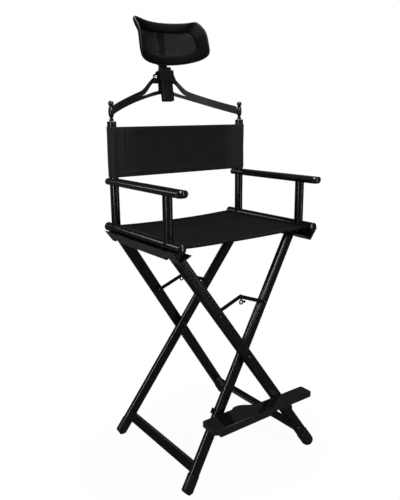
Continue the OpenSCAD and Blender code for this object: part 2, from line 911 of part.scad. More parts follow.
// Radius of a spindle's turned body from its lower neck to its upper one
function spindle_r(t) = spindle_neck + 1.1 * t
    + (spindle_d / 2 - spindle_neck) * pow(sin(180 * pow(t, 0.8)), 0.7);

module spindle_profile() {
    high = spindle_h - 2 * ball_r + 1;
    polygon(concat(
        [[0, running_gap], [spindle_foot_r + 0.4, running_gap]],
        [for (i = [0:8]) [spindle_foot_r + 1.5 * sin(180 * i / 8),
            running_gap + (spindle_foot_h - running_gap) * i / 8]],
        [for (i = [0:spindle_steps]) let (t = i / spindle_steps)
            [spindle_r(t), spindle_low + (high - spindle_low) * t]],
        [[0, high]]
    ));
}

module spindle_shape() {
    translate([-rail_x, post_y, post_top]) {
        rotate_extrude($fn = 40) spindle_profile();
        translate([0, 0, spindle_h - ball_r]) sphere(ball_r, $fn = 40);
    }
}

// Headrest: a curved padded frame with raised back-curling corners and a mesh panel

head_e1 = 0.25;
head_e2 = 0.33;
head_dip = -5.45;
head_drop = 13.14;
horn_back = 60;
horn_up = 28.4;
head_wide = -5.28;
head_flat = -0.7;
tilt_z = 1260;
tilt_along = (tilt_z - stem_z) / cos(lean);
knuckle_d = 13;
knuckle_half = 13;
post_gap = 16;
stem_down = 76;

function sgnpow(v, e) = sign(v) * pow(abs(v), e);
// A place on the headrest: e on its outline, d in from the edge, q from the middle, w out of the surface
function head_point(e, d, q, w) = let (
    s = e[0],
    h = e[1],
    half = head_half + head_wide * h - d * pad_side,
    run = s * half * q,
    bend = h > 0 ? head_dip * s * s * h : -head_drop * s * s * h,
    corner = pow(max(h, 0), 3) * pow(abs(s), 6) * (1 - d / head_b) * q * q * q,
    up = (head_b - d) * h * q + bend * q + horn_up * corner,
    turn = run / head_r * 180 / PI,
    back = -head_r * (1 - cos(turn)) - head_flat * pow(run / 130, 4) + horn_back * corner
) [head_r * sin(turn) + w * sin(turn), back + w * cos(turn), up];

module head_frame() {
    translate([0, head_y, head_z]) rotate([-lean, 0, 0]) children();
}

ring_n = 72;
ring_m = 10;
long_n = ring_n / 3;
short_n = ring_n / 6;
corner_s = pow(0.5, head_e1 / 2);
corner_h = pow(0.5, head_e2 / 2);

// Station i round the outline: even steps along each long edge and up each short end
function outline_at(i) = let (
    k = i % (ring_n / 2),
    turn = i < ring_n / 2 ? 1 : -1,
    along_top = k < long_n,
    up = corner_h * (1 - 2 * (k - long_n + 0.5) / short_n),
    s = along_top ? corner_s * (1 - 2 * (k + 0.5) / long_n)
        : -pow(1 - pow(abs(up), 2 / head_e2), head_e1 / 2),
    h = along_top ? pow(1 - pow(abs(s), 2 / head_e1), head_e2 / 2) : up
) [turn * s, turn * h];

module headrest_frame_shape() {
    pts = [for (i = [0:ring_n - 1], j = [0:ring_m - 1])
        let (a = 360 * j / ring_m, c = sgnpow(cos(a), 0.7), n = sgnpow(sin(a), 0.7))
        head_point(outline_at(i), pad_w / 2 * (1 - c), 1, pad_t / 2 * n)];
    head_frame() polyhedron(pts, [
        for (i = [0:ring_n - 1], j = [0:ring_m - 1])
            let (i2 = (i + 1) % ring_n, j2 = (j + 1) % ring_m,
                 a = i * ring_m + j, b = i2 * ring_m + j, c = i2 * ring_m + j2, d = i * ring_m + j2)
            each [[a, b, c], [a, c, d]]
    ]);
}

mesh_rings = 5;
mesh_t = 1.6;

module headrest_mesh_shape() {
    n = ring_n;
    inner = pad_w + running_gap;
    layer = 1 + mesh_rings * n;
    pts = [for (side = [-1, 1]) each concat(
        [head_point([1, 0], inner, 0, side * mesh_t / 2)],
        [for (k = [1:mesh_rings], i = [0:n - 1])
            head_point(outline_at(i), inner, k / mesh_rings, side * mesh_t / 2)]
    )];
    function at(side, k, i) = side * layer + 1 + (k - 1) * n + i % n;
    head_frame() polyhedron(pts, concat(
        [for (i = [0:n - 1]) [0, at(0, 1, i + 1), at(0, 1, i)]],
        [for (i = [0:n - 1]) [layer, at(1, 1, i), at(1, 1, i + 1)]],
        [for (k = [1:mesh_rings - 1], i = [0:n - 1])
            each [[at(0, k, i), at(0, k, i + 1), at(0, k + 1, i + 1)],
                  [at(0, k, i), at(0, k + 1, i + 1), at(0, k + 1, i)]]],
        [for (k = [1:mesh_rings - 1], i = [0:n - 1])
            each [[at(1, k, i), at(1, k + 1, i + 1), at(1, k, i + 1)],
                  [at(1, k, i), at(1, k + 1, i), at(1, k + 1, i + 1)]]],
        [for (i = [0:n - 1])
            each [[at(0, mesh_rings, i), at(0, mesh_rings, i + 1), at(1, mesh_rings, i + 1)],
                  [at(0, mesh_rings, i), at(1, mesh_rings, i + 1), at(1, mesh_rings, i)]]]
    ));
}

stem_top = tilt_along - post_gap;
tongue_h = 20;
tongue_front = 6.5;

module tilt_bore() {
    translate([-stem_w, 0, tilt_along]) rotate([0, 90, 0])
        cylinder(d = rivet_d + 2 * pin_fit, h = 2 * stem_w);
}

// The post: a flat tube, open below, with the tilt knuckle behind its top
module headrest_stem_shape() {
    stem_frame() difference() {
        union() {
            intersection() {
                translate([0, stem_back - stem_t / 2, -stem_down])
                    linear_extrude(stem_down + stem_top) rounded(stem_w, stem_t, 4);
                translate([0, far / 2, (stem_top - stem_down) / 2]) rotate([90, 0, 0])
                    linear_extrude(far) rounded(stem_w, stem_down + stem_top, 6);
            }
            translate([-knuckle_half, -tongue_front, tilt_along - tongue_h])
                cube([2 * knuckle_half, tongue_front + knuckle_d / 2, tongue_h]);
            translate([-knuckle_half, 0, tilt_along]) rotate([0, 90, 0])
                cylinder(d = knuckle_d, h = 2 * knuckle_half);
        }
        translate([0, stem_back - stem_t / 2, -stem_down - eps])
            linear_extrude(stem_down + stem_top - tongue_h)
            rounded(stem_w - 2 * stem_wall, stem_t - 2 * stem_wall, 2);
        tilt_bore();
    }
}

ear_w = 5;
yoke_down = 52;
foot_tab_h = 16;

module headrest_yoke_shape() {
    low = head_yoke_y;
    top = head_b - 6;
    tab_w = 2 * (knuckle_half + running_gap + ear_w);
    difference() {
        union() {
            head_frame() translate([0, low + yoke_t, 0]) rotate([90, 0, 0]) linear_extrude(yoke_t) {
                translate([0, (top - yoke_down) / 2]) rounded(yoke_w, top + yoke_down, 6);
                translate([0, foot_tab_h / 2 - yoke_down]) rounded(tab_w, foot_tab_h, 6);
            }
            for (side = [-1, 1]) intersection() {
                stem_frame()
                    translate([side * (knuckle_half + running_gap + ear_w / 2), 0, tilt_along]) union() {
                    rotate([0, 90, 0]) cylinder(d = knuckle_d, h = ear_w, center = true);
                    translate([-ear_w / 2, -2 * knuckle_d, -knuckle_d / 2])
                        cube([ear_w, 2 * knuckle_d, 1.4 * knuckle_d]);
                }
                head_frame() translate([-far / 2, low, -far / 2]) cube(far);
            }
        }
        stem_frame() tilt_bore();
    }
}

module tilt_pin_shape() {
    reach = knuckle_half + running_gap + ear_w;
    stem_frame() translate([0, 0, tilt_along]) rotate([0, 90, 0]) {
        cylinder(d = rivet_d, h = 2 * reach, center = true);
        for (side = [0, 1]) {
            mirror([0, 0, side]) translate([0, 0, reach]) dome(9, 2);
        }
    }
}

// Canvas: a sling seat between the rails and a back with sleeves round the posts

module seat_canvas_shape() {
    half = rail_x - rail_r - running_gap;
    bend_r = (half * half + seat_sag * seat_sag) / (2 * seat_sag);
    translate([0, seat_y, rail_z]) rotate([90, 0, 0]) linear_extrude(2 * seat_y) intersection() {
        translate([-half, -seat_sag - canvas_t]) square([2 * half, seat_sag + 2 * canvas_t]);
        translate([0, bend_r - seat_sag]) difference() {
            circle(bend_r + canvas_t / 2, $fn = 720);
            circle(bend_r - canvas_t / 2, $fn = 720);
        }
    }
}

module back_canvas_shape() {
    sleeve_r = rail_r + running_gap;
    translate([0, 0, back_low]) linear_extrude(back_high - back_low) difference() {
        union() {
            for (side = [-1, 1]) {
                translate([side * rail_x, post_y]) circle(sleeve_r + canvas_t);
            }
            translate([-rail_x, post_y - sleeve_r - canvas_t]) square([2 * rail_x, canvas_t]);
        }
        for (side = [-1, 1]) {
            translate([side * rail_x, post_y]) circle(sleeve_r);
        }
    }
}

module left_seat_rail() { color(black) place() seat_rail_shape(); }
module left_rail_plugs() { color(bright) place() rail_plugs_shape(); }
module left_front_upright() { color(black) place() front_upright_shape(); }
module left_rear_post() { color(black) place() rear_post_shape(); }
module left_post_cap() { color(black) place() post_cap_shape(); }
module left_arm() { color(black) place() arm_shape(); }
module left_arm_caps() { color(bright) place() arm_caps_shape(); }
module left_hinge_channel() { color(black) place() channel_shape(outer_y); }
module left_hinge_pins() { color(bright) place() hinge_pins_shape(outer_y); }
module right_seat_rail() { color(black) place() right_hand() seat_rail_shape(); }
module right_rail_plugs() { color(bright) place() right_hand() rail_plugs_shape(); }
module right_front_upright() { color(black) place() right_hand() front_upright_shape(); }
module right_rear_post() { color(black) place() right_hand() rear_post_shape(); }
module right_post_cap() { color(black) place() right_hand() post_cap_shape(); }
module right_arm() { color(black) place() right_hand() arm_shape(); }
module right_arm_caps() { color(bright) place() right_hand() arm_caps_shape(); }
module right_hinge_channel() { color(black) place() right_hand() channel_shape(inner_y); }
module right_hinge_pins() { color(bright) place() right_hand() hinge_pins_shape(inner_y); }
module outer_front_leg() { color(black) place() leg_frame(-1) leg_shape(outer_y, -1); }
module outer_rear_leg() { color(black) place() mirror([0, 1, 0]) leg_frame(-1) leg_shape(outer_y, -1); }
module outer_bottom_rail() { color(black) place() leg_frame(-1) bottom_rail_shape(outer_y); }
module outer_foot_caps() { color(rubber) place() foot_caps_shape(-1, outer_y); }
module inner_front_leg() { color(black) place() leg_frame(1) leg_shape(inner_y, 1); }
module inner_rear_leg() { color(black) place() mirror([0, 1, 0]) leg_frame(1) leg_shape(inner_y, 1); }
module inner_bottom_rail() { color(black) place() leg_frame(1) bottom_rail_shape(inner_y); }
module inner_foot_caps() { color(rubber) place() foot_caps_shape(1, inner_y); }
module crossing_bolts() { color(bright) place() crossing_bolts_shape(); }
module crossing_spacers() { color(rubber) place() crossing_spacers_shape(); }
module outer_stays() { color(black) place() outer_stays_shape(); }
module inner_stays() { color(black) place() inner_stays_shape(); }
module outer_stay_rivets() { color(bright) place() outer_stay_rivets_shape(); }
module inner_stay_rivets() { color(bright) place() inner_stay_rivets_shape(); }
module stay_lock() { color(bright) place() stay_lock_shape(); }
module footrest_board() { color(black) place() footrest_board_shape(); }
module footrest_clamp() { color(black) place() footrest_clamp_shape(); }
module footrest_pivot_bolt() { color(bright) place() footrest_pivot_bolt_shape(); }
module footrest_brace() { color(black) place() footrest_brace_shape(); }
module brace_bolt() { color(bright) place() brace_bolt_shape(); }
module rest_bracket() { color(black) place() rest_bracket_shape(); }
module crossbar() { color(black) place() crossbar_shape(); }
module left_spindle() { color(black) place() spindle_shape(); }
module right_spindle() { color(black) place() right_hand() spindle_shape(); }
module clamp_plate() { color(black) place() clamp_plate_shape(); }
module clamp_bolts() { color(bright) place() clamp_bolts_shape(); }
module headrest_stem() { color(black) place() headrest_stem_shape(); }
module headrest_yoke() { color(black) place() headrest_yoke_shape(); }
module headrest_frame() { color(cloth) place() headrest_frame_shape(); }
module headrest_mesh() { color(cloth) place() headrest_mesh_shape(); }
module tilt_pin() { color(bright) place() tilt_pin_shape(); }
module seat_canvas() { color(cloth) place() seat_canvas_shape(); }
module back_canvas() { color(cloth) place() back_canvas_shape(); }

left_seat_rail();
left_rail_plugs();
left_front_upright();
left_rear_post();
left_post_cap();
left_arm();
left_arm_caps();
left_hinge_channel();
left_hinge_pins();
right_seat_rail();
right_rail_plugs();
right_front_upright();
right_rear_post();
right_post_cap();
right_arm();
right_arm_caps();
right_hinge_channel();
right_hinge_pins();
outer_front_leg();
outer_rear_leg();
outer_bottom_rail();
outer_foot_caps();
inner_front_leg();
inner_rear_leg();
inner_bottom_rail();
inner_foot_caps();
crossing_bolts();
crossing_spacers();
outer_stays();
inner_stays();
outer_stay_rivets();
inner_stay_rivets();
stay_lock();
footrest_board();
footrest_clamp();
footrest_pivot_bolt();
footrest_brace();
brace_bolt();
rest_bracket();
crossbar();
left_spindle();
right_spindle();
clamp_plate();
clamp_bolts();
headrest_stem();
headrest_yoke();
headrest_frame();
headrest_mesh();
tilt_pin();
seat_canvas();
back_canvas();
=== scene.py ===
"""A folding makeup chair, dressed for a studio picture.

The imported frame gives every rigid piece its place. This script gives the pieces their finishes,
sews the canvas seat and back, covers the headrest, and sets up the floor, the lights and the
camera. All lengths are metres.
"""
from __future__ import annotations

import json
import logging
import math
from dataclasses import dataclass, field
from enum import Enum
from typing import Callable

import bmesh
import bpy
from mathutils import Matrix, Vector


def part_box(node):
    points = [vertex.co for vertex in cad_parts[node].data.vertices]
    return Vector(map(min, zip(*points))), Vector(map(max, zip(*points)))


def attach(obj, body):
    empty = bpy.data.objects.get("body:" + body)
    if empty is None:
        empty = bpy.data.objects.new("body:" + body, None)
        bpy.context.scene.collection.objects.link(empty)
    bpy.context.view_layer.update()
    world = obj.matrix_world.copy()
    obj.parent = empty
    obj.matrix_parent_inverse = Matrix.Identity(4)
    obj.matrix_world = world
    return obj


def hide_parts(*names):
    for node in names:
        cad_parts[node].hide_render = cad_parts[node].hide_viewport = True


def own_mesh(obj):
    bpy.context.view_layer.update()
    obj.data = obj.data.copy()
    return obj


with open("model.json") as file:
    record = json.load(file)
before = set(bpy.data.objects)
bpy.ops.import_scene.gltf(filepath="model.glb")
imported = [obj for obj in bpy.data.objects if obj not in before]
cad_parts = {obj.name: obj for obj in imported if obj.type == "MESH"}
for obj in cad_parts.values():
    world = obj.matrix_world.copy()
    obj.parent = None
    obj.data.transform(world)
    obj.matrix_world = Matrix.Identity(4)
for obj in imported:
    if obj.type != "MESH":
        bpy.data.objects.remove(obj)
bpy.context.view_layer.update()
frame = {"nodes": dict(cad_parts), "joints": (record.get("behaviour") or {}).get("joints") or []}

logging.basicConfig(level=logging.INFO, format="%(message)s")
log = logging.getLogger("makeup_chair")

MM = 0.001
FULL_TURN = 2 * math.pi
WHITE = (1.0, 1.0, 1.0, 1.0)

Tree = bpy.types.NodeTree
Socket = bpy.types.NodeSocket
Colour = tuple[float, float, float]


class Axis(Enum):
    """The three directions of the chair's frame."""

    X = Vector((1, 0, 0))
    Y = Vector((0, 1, 0))
    Z = Vector((0, 0, 1))


class Side(Enum):
    """The two side frames, with the sign of their X."""

    LEFT = -1
    RIGHT = 1

    @property
    def prefix(self) -> str:
        """The first word of this side's node and piece names."""
        return self.name.lower()

    @property
    def body(self) -> str:
        """The frame's body that this side rides on."""
        return f"{self.prefix}_side"


def node_box(node: str) -> tuple[Vector, Vector]:
    """Lowest and highest corner of a frame node.

    Args:
        node: The node's name.

    Returns:
        The two corners.
    """
    low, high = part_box(node)
    return Vector(low), Vector(high)


def node_centre(node: str) -> Vector:
    """Middle of a frame node's box."""
    low, high = node_box(node)
    return (low + high) / 2


def joint_named(name: str) -> dict:
    """What the frame says of a joint."""
    return next(joint for joint in frame["joints"] if joint["name"] == name)


# Shader nodes

def feed(tree: Tree, socket: Socket, value: object) -> None:
    """Gives an input its value.

    Args:
        tree: The node tree.
        socket: The input.
        value: A socket, which is linked, or a plain value.
    """
    if isinstance(value, Socket):
        tree.links.new(value, socket)
    else:
        socket.default_value = value


def set_inputs(tree: Tree, node: bpy.types.Node, **values: object) -> None:
    """Gives a node's inputs their values.

    Args:
        tree: The node tree.
        node: The node.
        values: Sockets, which are linked, or plain values, by input name with spaces as
            underscores.
    """
    for key, value in values.items():
        feed(tree, node.inputs[key.replace("_", " ")], value)


def add_node(tree: Tree, kind: str, **values: object) -> bpy.types.Node:
    """Adds a node to a tree and sets its properties and inputs.

    Args:
        tree: The node tree.
        kind: The node's type.
        values: Properties by name, or inputs by name with spaces as underscores. A socket as a
            value is linked.

    Returns:
        The node.
    """
    node = tree.nodes.new(kind)
    for key, value in values.items():
        if hasattr(node, key):
            setattr(node, key, value)
        else:
            set_inputs(tree, node, **{key: value})
    return node


def math_node(tree: Tree, operation: str, *sources: object) -> Socket:
    """Adds a Math node to a tree.

    Args:
        tree: The node tree.
        operation: The operation's name.
        sources: Sockets or plain numbers for its inputs.

    Returns:
        The result's socket.
    """
    node = add_node(tree, "ShaderNodeMath", operation=operation)
    for socket, source in zip(node.inputs, sources):
        feed(tree, socket, source)
    return node.outputs[0]


def use_group(tree: Tree, group: Tree, **values: object) -> bpy.types.Node:
    """Places a shared group in a material.

    Args:
        tree: The material's node tree.
        group: The shared group.
        values: Inputs by name with spaces as underscores.

    Returns:
        The group node.
    """
    node = tree.nodes.new("ShaderNodeGroup")
    node.node_tree = group
    set_inputs(tree, node, **values)
    return node


def mix_shaders(tree: Tree, *sources: Socket) -> Socket:
    """Mixes two shaders.

    Args:
        tree: The node tree.
        sources: The share of the second shader, then the first and the second shader.

    Returns:
        The mixed shader's socket.
    """
    node = tree.nodes.new("ShaderNodeMixShader")
    for socket, source in zip(node.inputs, sources):
        tree.links.new(source, socket)
    return node.outputs[0]


class GroupBuilder:
    """Builds one shader node group with named inputs and outputs."""

    def __init__(self, name: str, **inputs: float | None) -> None:
        """Starts a group with its inputs.

        Args:
            name: The group's name.
            inputs: Defaults by name with spaces as underscores, or None for a vector.
        """
        self.tree = bpy.data.node_groups.new(name, "ShaderNodeTree")
        self.entry = self.tree.nodes.new("NodeGroupInput")
        self.exit = self.tree.nodes.new("NodeGroupOutput")
        for key, default in inputs.items():
            kind = "NodeSocketVector" if default is None else "NodeSocketFloat"
            socket = self.tree.interface.new_socket(name=key.replace("_", " "), in_out="INPUT",
                                                    socket_type=kind)
            if default is not None:
                socket.default_value = default

    def given(self, name: str) -> Socket:
        """The socket of one of the group's own inputs."""
        return self.entry.outputs[name]

    def output(self, name: str, source: Socket) -> None:
        """Adds an output and links its source."""
        self.tree.interface.new_socket(name=name, in_out="OUTPUT", socket_type="NodeSocketFloat")
        self.tree.links.new(source, self.exit.inputs[name])

    def math(self, operation: str, *sources: object) -> Socket:
        """Adds a Math node and returns its result."""
        return math_node(self.tree, operation, *sources)

    def noise(self, place: Socket, scale: object, detail: float, roughness: float) -> Socket:
        """Adds a noise.

        Args:
            place: The place that it reads.
            scale: Its scale, a socket or a plain number.
            detail: How many finer layers it has.
            roughness: How strong they are.

        Returns:
            The noise's value.
        """
        node = add_node(self.tree, "ShaderNodeTexNoise", Vector=place, Scale=scale, Detail=detail,
                        Roughness=roughness)
        return node.outputs["Fac"]

    def between(self, value: Socket, low: object, high: object) -> Socket:
        """How far a value lies from a low to a high limit, from 0 to 1.

        Args:
            value: The value's socket.
            low: Where the share is 0, a socket or a plain number.
            high: Where the share is 1, a socket or a plain number.

        Returns:
            The share's socket.
        """
        return add_node(self.tree, "ShaderNodeMapRange", Value=value, From_Min=low,
                        From_Max=high).outputs[0]


class Effects:
    """The node groups that more than one finish uses."""

    def __init__(self) -> None:
        """Builds each group once."""
        self.grain = self._grain()
        self.weave = self._weave()
        self.dust = self._dust()
        self.net = self._net()
        self.streaks = self._painted_highlight_group()

    def _grain(self) -> Tree:
        """Fine uneven skin, such as a sprayed coat or moulded plastic.

        Returns:
            The group, which puts out the skin's height and its broad waves.
        """
        group = GroupBuilder("skin_grain", Vector=None, Fine_Scale=900.0, Broad_Scale=40.0,
                             Broad_Share=0.4)
        place, share = group.given("Vector"), group.given("Broad Share")
        fine = group.noise(place, group.given("Fine Scale"), detail=3.0, roughness=0.6)
        broad = group.noise(place, group.given("Broad Scale"), detail=2.0, roughness=0.5)
        kept = group.math("MULTIPLY", broad, share)
        rest = group.math("SUBTRACT", 1.0, share)
        group.output("Height", group.math("ADD", kept, group.math("MULTIPLY", fine, rest)))
        group.output("Broad", broad)
        return group.tree

    def _dust(self) -> Tree:
        """Thin uneven dust and handling marks.

        Returns:
            The group, which puts out their mask.
        """
        group = GroupBuilder("dust_marks", Vector=None, Scale=9.0, Amount=0.5)
        place = group.given("Vector")
        cloud = group.noise(place, group.given("Scale"), detail=6.0, roughness=0.65)
        speck = group.noise(place, 420.0, detail=2.0, roughness=0.8)
        soft = group.between(cloud, 0.42, 0.72)
        sharp = group.math("MULTIPLY", group.between(speck, 0.66, 0.78), 0.6)
        both = group.math("MAXIMUM", soft, sharp)
        group.output("Mask", group.math("MULTIPLY", both, group.given("Amount")))
        return group.tree

    def _weave(self) -> Tree:
        """A plain weave across two directions, with slubs.

        Returns:
            The group, which puts out the threads' height and shade.
        """
        group = GroupBuilder("plain_weave", Vector=None, U=0.0, V=0.0, Threads_per_Metre=1400.0)
        turn = group.math("MULTIPLY", group.given("Threads per Metre"), math.pi)
        u, v = (group.math("SINE", group.math("MULTIPLY", group.given(way), turn)) for way in "UV")
        over = group.math("MULTIPLY", u, v)
        over_up = group.math("ADD", group.math("MULTIPLY", over, 0.5), 0.5)
        crossed = group.math("MULTIPLY", group.math("ABSOLUTE", u), over_up)
        beneath = group.math("MULTIPLY", group.math("ABSOLUTE", v),
                             group.math("SUBTRACT", 1.0, over_up))
        height = group.math("ADD", crossed, beneath)
        slub = group.noise(group.given("Vector"), 260.0, detail=4.0, roughness=0.7)
        group.output("Height", group.math("ADD", height, group.math("MULTIPLY", slub, 0.5)))
        group.output("Shade", group.math("MULTIPLY", height, slub))
        return group.tree

    def _net(self) -> Tree:
        """An open knitted net.

        Returns:
            The group, which puts out whether a place is on a strand, and the strand's height.
        """
        group = GroupBuilder("open_net", U=0.0, V=0.0, Holes_per_Metre=420.0, Strand_Share=0.45)
        turn = group.math("MULTIPLY", group.given("Holes per Metre"), FULL_TURN)
        u, v = (group.math("MULTIPLY", group.given(way), turn) for way in "UV")
        rising = group.math("COSINE", group.math("ADD", u, v))
        falling = group.math("COSINE", group.math("SUBTRACT", u, v))
        hole = group.math("MULTIPLY", group.math("ADD", rising, falling), 0.25)
        strand = group.math("SUBTRACT", 1.0, group.math("ADD", hole, 0.5))
        edge = group.math("SUBTRACT", 1.0, group.given("Strand Share"))
        group.output("Mask", group.math("GREATER_THAN", strand, edge))
        group.output("Height", strand)
        return group.tree

    def _painted_highlight_group(self) -> Tree:
        """Painted highlight: lighter upright streaks in cloth towards its two sewn sides, where the
        sleeves round the posts catch the light.

        Returns:
            The group, which puts out their mask.
        """
        group = GroupBuilder("painted_highlight_streaks", Vector=None, Across=0.0, Start=0.165, End=0.225)
        away = group.math("ABSOLUTE", group.given("Across"))
        near = group.between(away, group.given("Start"), group.given("End"))
        drawn = add_node(group.tree, "ShaderNodeMapping", Vector=group.given("Vector"),
                         Scale=(110.0, 20.0, 2.6)).outputs["Vector"]
        lines = group.between(group.noise(drawn, 1.0, detail=3.0, roughness=0.55), 0.3, 0.75)
        group.output("Mask", group.math("MULTIPLY", near, lines))
        return group.tree


# Finishes

def new_material(name: str) -> tuple[bpy.types.Material, bpy.types.Node, Socket]:
    """Starts a material.

    Args:
        name: The material's name.

    Returns:
        The material, its Principled BSDF and the Object coordinates' socket.
    """
    material = bpy.data.materials.new(name)
    material.use_nodes = True
    tree = material.node_tree
    place = tree.nodes.new("ShaderNodeTexCoord").outputs["Object"]
    return material, tree.nodes["Principled BSDF"], place


def bump_from(tree: Tree, shader: bpy.types.Node, height: Socket, depth: float,
              strength: float = 1.0, edge: float = 0.0) -> None:
    """Feeds a height through a Bump node into the shader's Normal.

    Args:
        tree: The material's node tree.
        shader: The Principled BSDF.
        height: The height's socket.
        depth: The relief's depth in metres.
        strength: The Bump node's strength.
        edge: Radius by which sharp edges look rounded, or 0 for none.
    """
    bump = add_node(tree, "ShaderNodeBump", Strength=strength, Distance=depth, Height=height)
    if edge > 0.0:
        soft = add_node(tree, "ShaderNodeBevel", samples=6, Radius=edge)
        tree.links.new(soft.outputs["Normal"], bump.inputs["Normal"])
    tree.links.new(bump.outputs["Normal"], shader.inputs["Normal"])


def blend_colours(tree: Tree, mask: Socket, first: Colour, second: Colour) -> Socket:
    """Mixes two colours by a mask.

    Args:
        tree: The material's node tree.
        mask: The mask's socket.
        first: The colour where it is 0.
        second: The colour where it is 1.

    Returns:
        The colour's socket.
    """
    ramp = add_node(tree, "ShaderNodeValToRGB", Fac=mask)
    for stop, colour in zip(ramp.color_ramp.elements, (first, second)):
        stop.color = (*colour, 1.0)
    return ramp.outputs["Color"]


def spread(tree: Tree, mask: Socket, low: float, high: float) -> Socket:
    """Maps a mask from 0 to 1 onto a range.

    Args:
        tree: The material's node tree.
        mask: The mask's socket.
        low: The value where it is 0.
        high: The value where it is 1.

    Returns:
        The value's socket.
    """
    return add_node(tree, "ShaderNodeMapRange", Value=mask, To_Min=low, To_Max=high).outputs[0]


@dataclass(frozen=True)
class CoatFinish:
    """A sprayed coat or moulded plastic: dark, a little uneven, with thin dust."""

    name: str
    colour: Colour
    dusty: Colour
    roughness: float
    dust: float = 0.4
    fine_scale: float = 900.0
    grain_depth: float = 0.00003
    coat: float = 0.0
    coat_roughness: float = 0.12
    specular: float = 0.5
    edge: float = 0.0
    clean_share: float = 0.92
    dusty_share: float = 1.6

    def build(self, effects: Effects) -> bpy.types.Material:
        """Makes the material.

        Args:
            effects: The shared node groups.

        Returns:
            The material.
        """
        material, shader, place = new_material(self.name)
        tree = material.node_tree
        grain = use_group(tree, effects.grain, Vector=place, Fine_Scale=self.fine_scale)
        dust = use_group(tree, effects.dust, Vector=place, Amount=self.dust).outputs["Mask"]
        rough = spread(tree, dust, self.roughness * self.clean_share,
                       self.roughness * self.dusty_share)
        set_inputs(tree, shader, Base_Color=blend_colours(tree, dust, self.colour, self.dusty),
                   Roughness=rough, Coat_Weight=self.coat, Coat_Roughness=self.coat_roughness,
                   Specular_IOR_Level=self.specular)
        bump_from(tree, shader, grain.outputs["Height"], self.grain_depth, edge=self.edge)
        return material


@dataclass(frozen=True)
class PlatedFinish:
    """Bright plated steel with faint turning marks."""

    name: str
    colour: Colour
    roughness: float
    dull_share: float = 0.72
    smooth_share: float = 0.8
    rough_share: float = 1.3
    grain_depth: float = 0.000002

    def build(self, effects: Effects) -> bpy.types.Material:
        """Makes the material.

        Args:
            effects: The shared node groups.

        Returns:
            The material.
        """
        material, shader, place = new_material(self.name)
        tree = material.node_tree
        grain = use_group(tree, effects.grain, Vector=place, Fine_Scale=2600.0, Broad_Scale=120.0)
        dust = use_group(tree, effects.dust, Vector=place, Scale=60.0, Amount=0.6).outputs["Mask"]
        dull = tuple(self.dull_share * part for part in self.colour)
        rough = spread(tree, grain.outputs["Broad"], self.roughness * self.smooth_share,
                       self.roughness * self.rough_share)
        set_inputs(tree, shader, Base_Color=blend_colours(tree, dust, self.colour, dull),
                   Roughness=rough, Metallic=1.0)
        bump_from(tree, shader, grain.outputs["Height"], self.grain_depth)
        return material


@dataclass(frozen=True)
class ClothFinish:
    """Woven canvas across two of the chair's directions."""

    name: str
    across: Axis
    along: Axis
    thread: Colour
    gap: Colour
    per_metre: float = 1100.0
    depth: float = 0.00022
    relief: float = 0.8
    roughness: float = 0.9
    sheen: float = 0.03
    sheen_roughness: float = 0.6
    specular: float = 0.16
    # Strength of the painted highlight streaks near the posts, 0 for none.
    painted_highlight: float = 0.0

    def build(self, effects: Effects) -> bpy.types.Material:
        """Makes the material.

        Args:
            effects: The shared node groups.

        Returns:
            The material.
        """
        material, shader, place = new_material(self.name)
        tree = material.node_tree
        parts = add_node(tree, "ShaderNodeSeparateXYZ", Vector=place).outputs
        weave = use_group(tree, effects.weave, U=parts[self.across.name], V=parts[self.along.name],
                          Threads_per_Metre=self.per_metre, Vector=place)
        dust = use_group(tree, effects.dust, Vector=place, Scale=14.0, Amount=0.12)
        shade = math_node(tree, "ADD", weave.outputs["Shade"], dust.outputs["Mask"])
        # Painted highlight: lighter upright streaks near the posts stand in for the light on the
        # sleeves.
        if self.painted_highlight > 0.0:
            streaks = use_group(tree, effects.streaks, Vector=place, Across=parts["X"])
            painted_highlight = math_node(tree, "MULTIPLY", streaks.outputs["Mask"], self.painted_highlight)
            shade = math_node(tree, "ADD", shade, painted_highlight)
        set_inputs(tree, shader, Base_Color=blend_colours(tree, shade, self.gap, self.thread),
                   Roughness=self.roughness, Specular_IOR_Level=self.specular,
                   Sheen_Weight=self.sheen, Sheen_Roughness=self.sheen_roughness)
        bump_from(tree, shader, weave.outputs["Height"], self.depth, self.relief)
        return material


@dataclass(frozen=True)
class NetFinish:
    """Knitted net, shut over padding or open so that light comes through its holes."""

    name: str
    colour: Colour
    painted_sheen: Colour
    strand_share: float
    specular: float
    see_through: bool = False
    holes_per_metre: float = 420.0
    depth: float = 0.0004
    relief: float = 0.9
    roughness: float = 0.6
    shut_from: float = 0.3
    shut_to: float = 0.62

    def build(self, effects: Effects) -> bpy.types.Material:
        """Makes the material.

        Args:
            effects: The shared node groups.

        Returns:
            The material.
        """
        material, shader, place = new_material(self.name)
        tree = material.node_tree
        parts = add_node(tree, "ShaderNodeSeparateXYZ", Vector=place).outputs
        net = use_group(tree, effects.net, U=parts["X"], V=parts["Z"],
                        Holes_per_Metre=self.holes_per_metre, Strand_Share=self.strand_share)
        # Painted sheen: the raised parts of the strands get the lighter colour.
        colour = blend_colours(tree, net.outputs["Height"], self.colour, self.painted_sheen)
        set_inputs(tree, shader, Base_Color=colour, Roughness=self.roughness,
                   Specular_IOR_Level=self.specular)
        if self.see_through:
            slant = add_node(tree, "ShaderNodeLayerWeight", Blend=0.5).outputs["Facing"]
            shut = add_node(tree, "ShaderNodeMapRange", Value=slant, From_Min=self.shut_from,
                            From_Max=self.shut_to)
            solid = math_node(tree, "MAXIMUM", net.outputs["Mask"], shut.outputs[0])
            set_inputs(tree, shader, Alpha=solid)
        bump_from(tree, shader, net.outputs["Height"], self.depth, self.relief)
        return material


